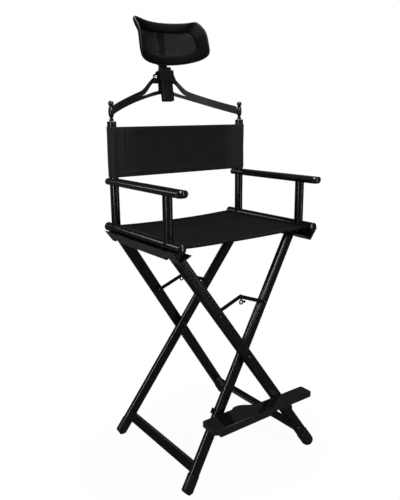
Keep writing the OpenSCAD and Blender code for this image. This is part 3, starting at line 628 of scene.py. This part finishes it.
class Finishes:
    """Every finish on the chair, built once."""

    def __init__(self) -> None:
        """Builds the shared effects and the materials."""
        effects = Effects()
        black, dusty = (0.0028, 0.0028, 0.0031), (0.012, 0.012, 0.0125)
        self.tube = CoatFinish("tube_black_coat", black, dusty, 0.2, dust=0.06, coat=0.12,
                               fine_scale=120.0, grain_depth=0.000001, specular=0.42).build(effects)
        self.flat = CoatFinish("bar_black_coat", (0.0022, 0.0022, 0.0025), dusty, 0.28, dust=0.06,
                               fine_scale=220.0, grain_depth=0.000005, specular=0.28,
                               edge=0.0008).build(effects)
        self.matt = CoatFinish("post_matt_coat", (0.0018, 0.0018, 0.0021), (0.008, 0.008, 0.0085),
                               0.42, dust=0.1, fine_scale=240.0, grain_depth=0.00001, specular=0.14,
                               edge=0.0008).build(effects)
        self.bar = CoatFinish("crossbar_satin_coat", (0.0055, 0.0055, 0.0058), (0.02, 0.02, 0.021),
                              0.36, dust=0.12, fine_scale=260.0, grain_depth=0.000006,
                              coat=0.12, edge=0.0008).build(effects)
        self.board = CoatFinish("board_black_plastic", (0.0044, 0.0044, 0.0048),
                                (0.014, 0.014, 0.0145), 0.12, dust=0.1, fine_scale=200.0,
                                grain_depth=0.000006, coat=0.5, edge=0.003).build(effects)
        self.plastic = CoatFinish("cap_black_plastic", (0.0035, 0.0035, 0.0038), dusty, 0.28,
                                  dust=0.1, fine_scale=300.0, grain_depth=0.000008,
                                  edge=0.001).build(effects)
        self.gloss = CoatFinish("fastener_black_gloss", (0.003, 0.003, 0.0033), dusty, 0.16,
                                dust=0.1, fine_scale=400.0, grain_depth=0.000003, coat=0.3,
                                edge=0.0006).build(effects)
        self.rubber = CoatFinish("foot_black_rubber", (0.004, 0.004, 0.0043), (0.016, 0.016, 0.016),
                                 0.36, dust=0.15, fine_scale=400.0, grain_depth=0.000008,
                                 specular=0.4, edge=0.004).build(effects)
        self.bright = PlatedFinish("bright_plate", (0.74, 0.75, 0.77), 0.2).build(effects)
        # The seat's canvas is coloured about half as light as the same canvas on the back: painted
        # shade on the flat seat.
        self.seat_cloth = ClothFinish("seat_canvas", Axis.X, Axis.Y, (0.0072, 0.0072, 0.0079),
                                      (0.0013, 0.0013, 0.0015), sheen=0.0,
                                      specular=0.07).build(effects)
        # The back's canvas gets painted highlight streaks near the posts.
        self.back_cloth = ClothFinish("back_canvas", Axis.X, Axis.Z, (0.0155, 0.0155, 0.017),
                                      (0.0021, 0.0021, 0.0024), painted_highlight=1.3).build(effects)
        self.stitch = CoatFinish("black_thread", (0.008, 0.008, 0.009), (0.02, 0.02, 0.02), 0.6,
                                 dust=0.1, fine_scale=3000.0).build(effects)
        self.pad_net = NetFinish("headrest_cover", (0.0007, 0.0007, 0.0009),
                                 (0.0028, 0.0028, 0.0032), strand_share=0.6,
                                 specular=0.06).build(effects)
        self.open_net = NetFinish("headrest_net", (0.0014, 0.0014, 0.0016),
                                  (0.0048, 0.0048, 0.0053), strand_share=0.985, specular=0.08,
                                  see_through=True).build(effects)


# Mesh helpers

def finish_piece(mesh: bmesh.types.BMesh, name: str, material: bpy.types.Material,
                 body: str) -> bpy.types.Object:
    """Makes an object of a bmesh, dresses it and lets it ride on its body.

    Args:
        mesh: The finished bmesh, which is freed.
        name: The piece's name.
        material: Its finish.
        body: The body that it rides on.

    Returns:
        The object.
    """
    data = bpy.data.meshes.new(name)
    for face in mesh.faces:
        face.smooth = True
    mesh.to_mesh(data)
    mesh.free()
    piece = bpy.data.objects.new(name, data)
    bpy.context.scene.collection.objects.link(piece)
    data.materials.append(material)
    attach(piece, body)
    log.info("%s: %d faces", name, len(data.polygons))
    return piece


def thicken(piece: bpy.types.Object, wall: float, offset: float = 0.0) -> None:
    """Gives a surface its wall.

    Args:
        piece: The object.
        wall: The wall's thickness.
        offset: 0 for a wall on both sides of the surface, 1 for one in front of it.
    """
    modifier = piece.modifiers.new("wall", "SOLIDIFY")
    modifier.thickness = wall
    modifier.offset = offset
    graph = bpy.context.evaluated_depsgraph_get()
    data = bpy.data.meshes.new_from_object(piece.evaluated_get(graph))
    piece.modifiers.clear()
    piece.data = data


def stitch_row(mesh: bmesh.types.BMesh, place: Callable[[float], Vector], out: Vector,
               length: float, pitch: float = 4.2 * MM, thick: float = 0.7 * MM) -> None:
    """Adds a row of stitches to a bmesh.

    Args:
        mesh: The bmesh that gets them.
        place: The row's place for a share from 0 to 1.
        out: The cloth's outward direction.
        length: The row's length.
        pitch: From one stitch to the next.
        thick: The thread's thickness.
    """
    count = max(2, int(length / pitch))
    for i in range(count):
        start, end = place((i + 0.14) / count), place((i + 0.86) / count)
        along = (end - start).normalized()
        side = out.cross(along).normalized()
        middle = (start + end) / 2 + out * thick * 0.25
        turn = Matrix((along, side, out)).transposed().to_4x4()
        size = Matrix.Diagonal(((end - start).length / 2, thick / 2, thick / 2, 1.0))
        bmesh.ops.create_icosphere(mesh, subdivisions=1, radius=1.0,
                                   matrix=Matrix.Translation(middle) @ turn @ size)


# The canvas seat and back. Lifts are shares of the cloth's wall; ROW_INSETS are the distances of
# the rows of stitches from a hem's inner edge.

HEM_LIFT = 0.8
STITCH_LIFT = 1.35
ROW_INSETS = (3.0 * MM, 8.0 * MM)


@dataclass
class SlingSeat:
    """The canvas seat between the two rails."""

    finishes: Finishes
    sag: float = 7.0 * MM
    wall: float = 1.8 * MM
    hem: float = 24.0 * MM
    bow: float = 4.0 * MM
    bow_reach: float = 0.2
    ripple: float = 1.1 * MM
    row_share: float = 0.985
    columns: int = 72
    rows: int = 64
    hem_rows: int = 6
    keep: float = 0.27

    def __post_init__(self) -> None:
        """Takes the seat's place from its frame node."""
        self.low, self.high = node_box("seat_canvas")
        self.edge_z = node_centre("left_seat_rail").z
        self.middle_y = (self.low.y + self.high.y) / 2

    def height(self, x: float, y: float) -> float:
        """Height of the cloth over a place, with its sag and soft wrinkles.

        Args:
            x: Place across the seat.
            y: Place from front to back.

        Returns:
            The cloth's Z.
        """
        across = x / self.high.x
        along = (y - self.middle_y) / (self.high.y - self.middle_y)
        sag = self.sag * (1 - across * across) * (0.72 + 0.28 * (1 - along * along))
        pull = abs(across) ** 6 * (1 - abs(across)) * 12
        return self.edge_z - sag + self.ripple * pull * math.sin(along * 31 + 3 * across)

    def place(self, x: float, y: float, lift: float) -> Vector:
        """A place on or over the cloth, whose front and rear edges are bowed inwards.

        Args:
            x: Place across the seat.
            y: Place from front to back on a cloth with straight edges.
            lift: How far it lies above the cloth.

        Returns:
            The place in the chair's frame.
        """
        bow = self.bow * (1 - (x / self.high.x) ** 2) * (y - self.middle_y) / self.bow_reach
        return Vector((x, y - bow, self.height(x, y) + lift))

    def _surface(self, name: str, y0: float, y1: float, rows: int, lift: float) -> bpy.types.Object:
        """Makes one piece of the seat's cloth.

        Args:
            name: The piece's name.
            y0: Its front edge.
            y1: Its rear edge.
            rows: Rows of faces between them.
            lift: How far it lies above the main cloth.

        Returns:
            The object.
        """
        mesh = bmesh.new()
        bmesh.ops.create_grid(mesh, x_segments=self.columns, y_segments=rows, size=1.0)
        for vert in mesh.verts:
            y = y0 + (vert.co.y + 1) / 2 * (y1 - y0)
            vert.co = self.place(vert.co.x * self.high.x, y, lift)
        piece = finish_piece(mesh, name, self.finishes.seat_cloth, "left_side")
        thicken(piece, self.wall)
        return piece

    def _stitch_across(self, thread: bmesh.types.BMesh, y: float) -> None:
        """Adds one row of stitches from rail to rail.

        Args:
            thread: The bmesh that gets them.
            y: The row's place from front to back.
        """
        reach = self.high.x * self.row_share
        stitch_row(thread, lambda s: self.place((2 * s - 1) * reach, y, self.wall * STITCH_LIFT),
                   Axis.Z.value, 2 * self.high.x)

    def build(self) -> None:
        """Sews the seat: its cloth, its two hems and their stitches."""
        seat = self._surface("seat_cloth", self.low.y, self.high.y, self.rows, 0.0)
        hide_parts("seat_canvas")
        front, rear = self.low.y + self.hem, self.high.y - self.hem
        hems = [self._surface(name, y0, y1, self.hem_rows, self.wall * HEM_LIFT)
                for name, y0, y1 in (("seat_front_hem", self.low.y, front),
                                     ("seat_rear_hem", rear, self.high.y))]
        thread = bmesh.new()
        for inset in ROW_INSETS:
            self._stitch_across(thread, front - inset)
        for inset in ROW_INSETS:
            self._stitch_across(thread, rear + inset)
        stitches = finish_piece(thread, "seat_stitches", self.finishes.stitch,
                                "left_side")
        for piece in (seat, *hems, stitches):
            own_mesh(piece)


@dataclass
class SlingBack:
    """The canvas back with a sleeve round each post."""

    finishes: Finishes
    wall: float = 1.2 * MM
    seam: float = 20.0 * MM
    seam_gap: float = 6.0 * MM
    seam_lift: float = 0.55
    hem: float = 18.0 * MM
    hollow: float = 2.5 * MM
    waves: float = 0.5 * MM
    lines: float = 0.45 * MM
    lines_reach: float = 70.0 * MM
    turn_start: float = 6.0 * MM
    sleeve_gap: float = 0.6 * MM
    sleeve_slack: float = 0.7 * MM
    sleeve_folds: float = 0.6 * MM
    columns: int = 80
    rows: int = 36
    hem_rows: int = 5
    sleeve_rows: int = 40
    sleeve_steps: int = 48

    def __post_init__(self) -> None:
        """Takes the back's place from its frame nodes."""
        self.low, self.high = node_box("back_canvas")
        self.height = self.high.z - self.low.z
        self.post = node_centre("left_rear_post")
        self.half = abs(self.post.x)
        post_low, post_high = node_box("left_rear_post")
        self.sleeve_r = (post_high.x - post_low.x) / 2 + self.sleeve_gap
        self.front = self.post.y - self.sleeve_r

    def wrinkle(self, x: float, z: float) -> float:
        """How far the cloth bulges to the front at a place.

        Args:
            x: Place across the back.
            z: Height.

        Returns:
            The bulge in metres.
        """
        near = max(0.0, 1 - (self.half - abs(x)) / self.lines_reach)
        share = (z - self.low.z) / self.height
        soft = math.sin(share * 9 + x * 22) * 0.5 + math.sin(share * 17 - x * 31) * 0.3
        fine = math.sin(x * 620 + 2.2 * math.sin(share * 5)) + 0.6 * math.sin(x * 1130 + 3 * share)
        hollow = -self.hollow * math.sin(math.pi * share) * (1 - (x / self.half) ** 2)
        past = max(0.0, abs(x) - self.half + self.turn_start)
        round_post = -0.5 * past ** 2 / self.sleeve_r
        return hollow + self.waves * soft + self.lines * fine * near ** 1.5 + round_post

    def place(self, x: float, z: float, lift: float) -> Vector:
        """A place on or in front of the cloth.

        Args:
            x: Place across the back.
            z: Height.
            lift: How far it stands in front of the cloth.

        Returns:
            The place in the chair's frame.
        """
        return Vector((x, self.front - lift - self.wrinkle(x, z), z))

    def _panel(self, name: str, z0: float, z1: float, rows: int, lift: float) -> bpy.types.Object:
        """Makes one flat piece of the back's cloth.

        Args:
            name: The piece's name.
            z0: Its lower edge.
            z1: Its upper edge.
            rows: Rows of faces between them.
            lift: How far it stands in front of the main cloth.

        Returns:
            The object.
        """
        mesh = bmesh.new()
        bmesh.ops.create_grid(mesh, x_segments=self.columns, y_segments=rows, size=1.0)
        for vert in mesh.verts:
            z = z0 + (vert.co.y + 1) / 2 * (z1 - z0)
            vert.co = self.place(vert.co.x * self.half, z, lift)
        bmesh.ops.reverse_faces(mesh, faces=mesh.faces)
        piece = finish_piece(mesh, name, self.finishes.back_cloth, "left_side")
        thicken(piece, self.wall)
        return piece

    def _sleeve(self, side: Side) -> bpy.types.Object:
        """Makes the sleeve round one post.

        Args:
            side: The post's side.

        Returns:
            The object.
        """
        mesh = bmesh.new()
        x = side.value * self.half
        verts = [mesh.verts.new((x, self.front, self.low.z + i / self.sleeve_rows * self.height))
                 for i in range(self.sleeve_rows + 1)]
        edges = [mesh.edges.new(pair) for pair in zip(verts, verts[1:])]
        bmesh.ops.spin(mesh, geom=verts + edges, cent=Vector((x, self.post.y, 0)),
                       axis=Axis.Z.value, angle=FULL_TURN, steps=self.sleeve_steps, use_merge=True)
        for vert in mesh.verts:
            arm = vert.co - Vector((x, self.post.y, vert.co.z))
            angle = math.atan2(arm.y, arm.x)
            share = (vert.co.z - self.low.z) / self.height
            fold = math.sin(5 * angle + 4 * share) * math.sin(math.pi * share) ** 0.5
            vert.co += arm.normalized() * (self.sleeve_slack + self.sleeve_folds * fold)
        bmesh.ops.recalc_face_normals(mesh, faces=mesh.faces)
        name = f"{side.prefix}_back_sleeve"
        piece = finish_piece(mesh, name, self.finishes.back_cloth, side.body)
        thicken(piece, self.wall, 1.0)
        return piece

    def _seam(self, side: Side) -> bpy.types.Object:
        """Makes the two rows of stitches beside one sleeve.

        Args:
            side: The post's side.

        Returns:
            The object.
        """
        thread = bmesh.new()
        lift = self.wall * self.seam_lift
        for inset in (self.seam, self.seam + self.seam_gap):
            x = side.value * (self.half - inset)
            stitch_row(thread, lambda s, x=x: self.place(x, self.low.z + s * self.height, lift),
                       -Axis.Y.value, self.height)
        return finish_piece(thread, f"{side.prefix}_seam_stitches", self.finishes.stitch,
                            side.body)

    def build(self) -> None:
        """Sews the back: its panel, sleeves, hems and stitches."""
        panel = self._panel("back_cloth", self.low.z, self.high.z, self.rows, 0.0)
        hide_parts("back_canvas")
        lower, upper = self.low.z + self.hem, self.high.z - self.hem
        hems = [self._panel(name, z0, z1, self.hem_rows, self.wall * HEM_LIFT)
                for name, z0, z1 in (("back_lower_hem", self.low.z, lower),
                                     ("back_upper_hem", upper, self.high.z))]
        thread = bmesh.new()
        half, height = self.half, self.height
        near_row, far_row = ROW_INSETS
        reach = half - self.seam - far_row
        for z in (lower - near_row, upper + near_row):
            stitch_row(thread, lambda s, z=z: self.place(reach * (2 * s - 1), z,
                                                         self.wall * STITCH_LIFT),
                       -Axis.Y.value, 2 * reach)
        stitches = finish_piece(thread, "back_stitches", self.finishes.stitch,
                                "left_side")
        for side in Side:
            sleeve, seam = self._sleeve(side), self._seam(side)
        keep = self._keep()
        for piece in (panel, *hems, stitches):
            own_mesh(piece)

    def _keep(self) -> float:
        """Share of the width between the posts that is left when the chair is folded.

        Returns:
            The share.
        """
        fold, crossing = joint_named("fold"), joint_named("crossing")
        arm = Vector(fold["pos_m"]) - Vector(crossing["pos_m"])
        angle = math.radians(max(fold["range_deg"]))
        folded = arm.x * math.cos(angle) + arm.z * math.sin(angle)
        travel = 2 * abs(arm.x - folded)
        return 1 - travel / (2 * self.half)


# The headrest

@dataclass
class HeadrestCover:
    """The headrest's curved padded frame, its piping and its net."""

    finishes: Finishes
    half: float = 159.3 * MM
    half_height: float = 67.8 * MM
    radius: float = 146.8 * MM
    centre_z: float = 1319.2 * MM
    rise_y: float = 250.06 * MM
    lean: float = math.radians(9.71)
    band: float = 31.0 * MM
    side_share: float = 1.5
    depth: float = 12.0 * MM
    side_power: float = 8.0
    end_power: float = 6.06
    corner_slope: float = 0.62
    taper: float = 5.28 * MM
    top_bend: float = 5.45 * MM
    bottom_bend: float = 13.14 * MM
    ear_rise: float = 28.4 * MM
    ear_back: float = 60.0 * MM
    end_flare: float = 0.7 * MM
    flare_from: float = 130.0 * MM
    pad_fullness: float = 0.7
    pad_sides: int = 20
    ring_steps: int = 144
    piping_inset: float = 1.2 * MM
    piping_radius: float = 2.2 * MM
    piping_rise: float = 1.0 * MM
    piping_sides: int = 10
    net_tuck: float = 4.0 * MM
    net_columns: int = 56
    net_rows: int = 28

    def edge(self, share: float) -> tuple[float, float]:
        """A place on the outline, as shares of its half width and half height.

        Args:
            share: From 0 to 1 round the outline, evenly along its four sides.

        Returns:
            The two shares, -1 to 1.
        """
        side, end = self.side_power, self.end_power
        angle = FULL_TURN * share
        c, s = math.cos(angle), math.sin(angle)
        if abs(c) * self.corner_slope >= abs(s):
            h = 0.5 ** (1 / end) * s / (abs(c) * self.corner_slope)
            return math.copysign((1 - abs(h) ** end) ** (1 / side), c), h
        w = 0.5 ** (1 / side) * c * self.corner_slope / abs(s)
        return w, math.copysign((1 - abs(w) ** side) ** (1 / end), s)

    def surface(self, s: float, h: float, inset: float, out: float) -> Vector:
        """A place on or off the headrest's curved surface.

        Args:
            s: Share of the half width.
            h: Share of the half height.
            inset: How far in from the edge.
            out: How far behind the surface.

        Returns:
            The place in the chair's frame.
        """
        run = s * (self.half - self.taper * h - inset * self.side_share)
        bend = -(self.top_bend if h > 0 else self.bottom_bend) * s * s * h
        corner = max(h, 0.0) ** 3 * abs(s) ** 6 * (1 - inset / self.half_height)
        up = (self.half_height - inset) * h + bend + self.ear_rise * corner
        turn = run / self.radius
        flare = self.end_flare * (run / self.flare_from) ** 4
        back = -self.radius * (1 - math.cos(turn)) + flare + self.ear_back * corner
        x = self.radius * math.sin(turn) + out * math.sin(turn)
        y = back + out * math.cos(turn)
        return Vector((x, self.rise_y + y * math.cos(self.lean) + up * math.sin(self.lean),
                       self.centre_z + up * math.cos(self.lean) - y * math.sin(self.lean)))

    def _ring(self, name: str, inset: float, half_band: float, half_depth: float, sides: int,
              material: bpy.types.Material, power: float, shift: float = 0.0) -> bpy.types.Object:
        """Makes a closed band along the outline by spinning its section and bending it.

        Args:
            name: The piece's name.
            inset: The band's middle line in from the edge.
            half_band: Half its width along the surface.
            half_depth: Half its thickness.
            sides: Points of its section.
            material: Its finish.
            power: 1 for a round section, below 1 for a fuller one.
            shift: How far the section lies behind the surface.

        Returns:
            The object.
        """
        mesh = bmesh.new()
        spin_radius = 2.0
        verts = []
        for i in range(sides):
            angle = FULL_TURN * i / sides
            c, n = (math.copysign(abs(part) ** power, part)
                    for part in (math.cos(angle), math.sin(angle)))
            verts.append(mesh.verts.new((spin_radius + c, 0.0, n)))
        edges = [mesh.edges.new((verts[i], verts[(i + 1) % sides])) for i in range(sides)]
        bmesh.ops.spin(mesh, geom=verts + edges, cent=(0, 0, 0), axis=Axis.Z.value,
                       angle=FULL_TURN, steps=self.ring_steps, use_merge=True)
        for vert in mesh.verts:
            share = math.atan2(vert.co.y, vert.co.x) / FULL_TURN
            c = math.hypot(vert.co.x, vert.co.y) - spin_radius
            s, h = self.edge(share)
            vert.co = self.surface(s, h, inset - half_band * c, shift + half_depth * vert.co.z)
        bmesh.ops.recalc_face_normals(mesh, faces=mesh.faces)
        return finish_piece(mesh, name, material, "headrest")

    def _net(self) -> bpy.types.Object:
        """Makes the net across the frame's window.

        Returns:
            The object.
        """
        mesh = bmesh.new()
        bmesh.ops.create_grid(mesh, x_segments=self.net_columns, y_segments=self.net_rows, size=1.0)
        for vert in mesh.verts:
            u, v = vert.co.x, vert.co.y
            s = u * (1 - 0.5 * abs(v) ** self.end_power) ** (1 / self.side_power)
            h = v * (1 - 0.5 * abs(u) ** self.side_power) ** (1 / self.end_power)
            vert.co = self.surface(s, h, self.band - self.net_tuck, 0.0)
        bmesh.ops.reverse_faces(mesh, faces=mesh.faces)
        return finish_piece(mesh, "headrest_net_panel", self.finishes.open_net, "headrest")

    def build(self) -> None:
        """Covers the headrest."""
        pad = self._ring("headrest_pad", self.band / 2, self.band / 2, self.depth / 2,
                         self.pad_sides, self.finishes.pad_net, self.pad_fullness)
        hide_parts("headrest_frame")
        self._ring("headrest_piping", self.piping_inset, self.piping_radius, self.piping_radius,
                   self.piping_sides, self.finishes.stitch, 1.0, shift=-self.piping_rise)
        net = self._net()
        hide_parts("headrest_mesh")


# Finishes on the frame's own pieces

class Hardware:
    """Gives each frame node its finish."""

    def __init__(self, finishes: Finishes) -> None:
        """Pairs finishes with words of node names; the first pair that fits a node counts.

        Args:
            finishes: The chair's finishes.
        """
        self.other = finishes.tube
        self.pairs = (
            (finishes.rubber, ("foot_caps", "spacers")),
            (finishes.bright, ("clamp_bolts",)),
            (finishes.gloss, ("arm_caps", "rail_plugs", "hinge_pins", "crossing_bolts",
                              "stay_rivets", "tilt_pin", "brace_bolt", "pivot_bolt")),
            (finishes.bar, ("crossbar", "channel")),
            (finishes.matt, ("clamp_plate", "stem", "yoke", "stay_lock")),
            (finishes.board, ("footrest_board",)),
            (finishes.plastic, ("post_cap",)),
            (finishes.flat, ("stays", "brace", "bracket", "footrest_clamp")),
        )

    def finish_for(self, node: str) -> bpy.types.Material:
        """The finish that suits a node.

        Args:
            node: The node's name.

        Returns:
            Its material.
        """
        fitting = (finish for finish, words in self.pairs if any(word in node for word in words))
        return next(fitting, self.other)

    def build(self) -> None:
        """Dresses every node that has a mesh."""
        for name, node in frame["nodes"].items():
            node.data.materials.clear()
            node.data.materials.append(self.finish_for(name))
            log.info("%s: %s", name, node.data.materials[0].name)


# The studio

@dataclass(frozen=True)
class SoftBox:
    """One light, with its size in metres and its power in watts."""

    name: str
    place: Vector
    width: float
    height: float
    power: float

    def hang(self, aim: Vector) -> None:
        """Adds the light to the scene.

        Args:
            aim: The place that it faces.
        """
        data = bpy.data.lights.new(self.name, "AREA")
        data.shape = "RECTANGLE"
        data.size, data.size_y = self.width, self.height
        data.energy = self.power
        light = bpy.data.objects.new(self.name, data)
        light.rotation_euler = (aim - self.place).to_track_quat("-Z", "Y").to_euler()
        light.location = self.place
        bpy.context.scene.collection.objects.link(light)
        log.info("%s: %g W", self.name, self.power)


@dataclass
class Studio:
    """The floor, the lights, the world and the camera."""

    focal_px: float = 561.77
    image_h_px: float = 500.0
    sensor_h_mm: float = 36.0
    azimuth: float = math.radians(-35.87)
    elevation: float = math.radians(13.52)
    roll: float = math.radians(-0.53)
    aim: Vector = field(default_factory=lambda: Vector((-0.03786, -0.00064, 0.67403)))
    distance: float = 1.78659
    floor_half: float = 9.0
    floor_white: float = 0.95
    floor_in_gloss: float = 0.09
    shade_from: float = 0.3
    shade_to: float = 0.9
    shade_share: float = 0.968
    world_light: float = 0.07
    light_aim: Vector = field(default_factory=lambda: Vector((0.0, 0.0, 0.7)))

    def build(self) -> None:
        """Sets the whole studio up: two soft boxes, three strips and the rest."""
        self._floor()
        self._world()
        for light in (SoftBox("key_strip", Vector((-2.2, -1.0, 1.5)), 0.22, 2.2, 30.0),
                      SoftBox("front_box", Vector((-0.4, -2.8, 2.2)), 0.9, 0.9, 30.0),
                      SoftBox("side_strip", Vector((1.25, -2.2, 1.2)), 0.12, 2.0, 8.0),
                      SoftBox("rear_strip", Vector((-1.5, 2.4, 2.1)), 0.35, 1.0, 4.5),
                      SoftBox("top_box", Vector((0.2, 0.2, 2.9)), 0.9, 0.9, 60.0)):
            light.hang(self.light_aim)
        self._camera()

    def _camera(self) -> None:
        """Places the camera where the photograph was taken from."""
        a, e = self.azimuth, self.elevation
        back = Vector((math.sin(a) * math.cos(e), -math.cos(a) * math.cos(e), math.sin(e)))
        level = Vector((math.cos(a), math.sin(a), 0.0))
        upright = back.cross(level)
        right = math.cos(self.roll) * level + math.sin(self.roll) * upright
        up = math.cos(self.roll) * upright - math.sin(self.roll) * level
        data = bpy.data.cameras.new("studio_camera")
        data.sensor_fit = "VERTICAL"
        data.sensor_height = self.sensor_h_mm
        data.lens = self.focal_px / self.image_h_px * data.sensor_height
        camera = bpy.data.objects.new("studio_camera", data)
        turn = Matrix((right, up, back)).transposed().to_4x4()
        camera.matrix_world = Matrix.Translation(self.aim + back * self.distance) @ turn
        bpy.context.scene.collection.objects.link(camera)
        bpy.context.scene.camera = camera

    def _floor(self) -> None:
        """Lays the pale floor, which looks nearly white to the camera, a little darker near the
        chair, and dark in reflections."""
        mesh = bmesh.new()
        bmesh.ops.create_grid(mesh, x_segments=4, y_segments=4, size=self.floor_half)
        data = bpy.data.meshes.new("studio_floor")
        mesh.to_mesh(data)
        mesh.free()
        floor = bpy.data.objects.new("studio_floor", data)
        bpy.context.scene.collection.objects.link(floor)
        material = bpy.data.materials.new("studio_white")
        material.use_nodes = True
        tree = material.node_tree
        tree.nodes.clear()
        matte = add_node(tree, "ShaderNodeBsdfDiffuse", Color=(*[self.floor_white] * 3, 1.0))
        glow = add_node(tree, "ShaderNodeEmission", Color=WHITE, Strength=1.0)
        dark = add_node(tree, "ShaderNodeEmission", Color=WHITE, Strength=self.floor_in_gloss)
        away = add_node(tree, "ShaderNodeVectorMath", operation="LENGTH")
        place = tree.nodes.new("ShaderNodeTexCoord").outputs["Object"]
        tree.links.new(place, away.inputs[0])
        share = add_node(tree, "ShaderNodeMapRange", Value=away.outputs["Value"],
                         From_Min=self.shade_from, From_Max=self.shade_to,
                         To_Min=self.shade_share, To_Max=1.0)
        path = tree.nodes.new("ShaderNodeLightPath").outputs
        seen = math_node(tree, "MULTIPLY", path["Is Camera Ray"], share.outputs[0])
        lit = mix_shaders(tree, path["Is Glossy Ray"], matte.outputs[0], dark.outputs[0])
        out = tree.nodes.new("ShaderNodeOutputMaterial")
        tree.links.new(mix_shaders(tree, seen, lit, glow.outputs[0]), out.inputs["Surface"])
        data.materials.append(material)

    def _world(self) -> None:
        """Gives a dim surround that looks white to the camera."""
        world = bpy.data.worlds.new("studio_world")
        world.use_nodes = True
        bpy.context.scene.world = world
        tree = world.node_tree
        tree.nodes.clear()
        path = tree.nodes.new("ShaderNodeLightPath").outputs
        dim = add_node(tree, "ShaderNodeBackground", Color=WHITE, Strength=self.world_light)
        white = add_node(tree, "ShaderNodeBackground", Color=WHITE, Strength=1.0)
        seen = math_node(tree, "MAXIMUM", path["Is Camera Ray"], path["Is Transmission Ray"])
        out = tree.nodes.new("ShaderNodeOutputWorld")
        tree.links.new(mix_shaders(tree, seen, dim.outputs[0], white.outputs[0]),
                       out.inputs["Surface"])


def main() -> None:
    """Dresses the chair and sets up its picture."""
    bpy.context.scene.view_settings.view_transform = "Standard"
    finishes = Finishes()
    Hardware(finishes).build()
    SlingSeat(finishes).build()
    SlingBack(finishes).build()
    HeadrestCover(finishes).build()
    Studio().build()
    bpy.context.view_layer.update()


if __name__ == "__main__":
    main()
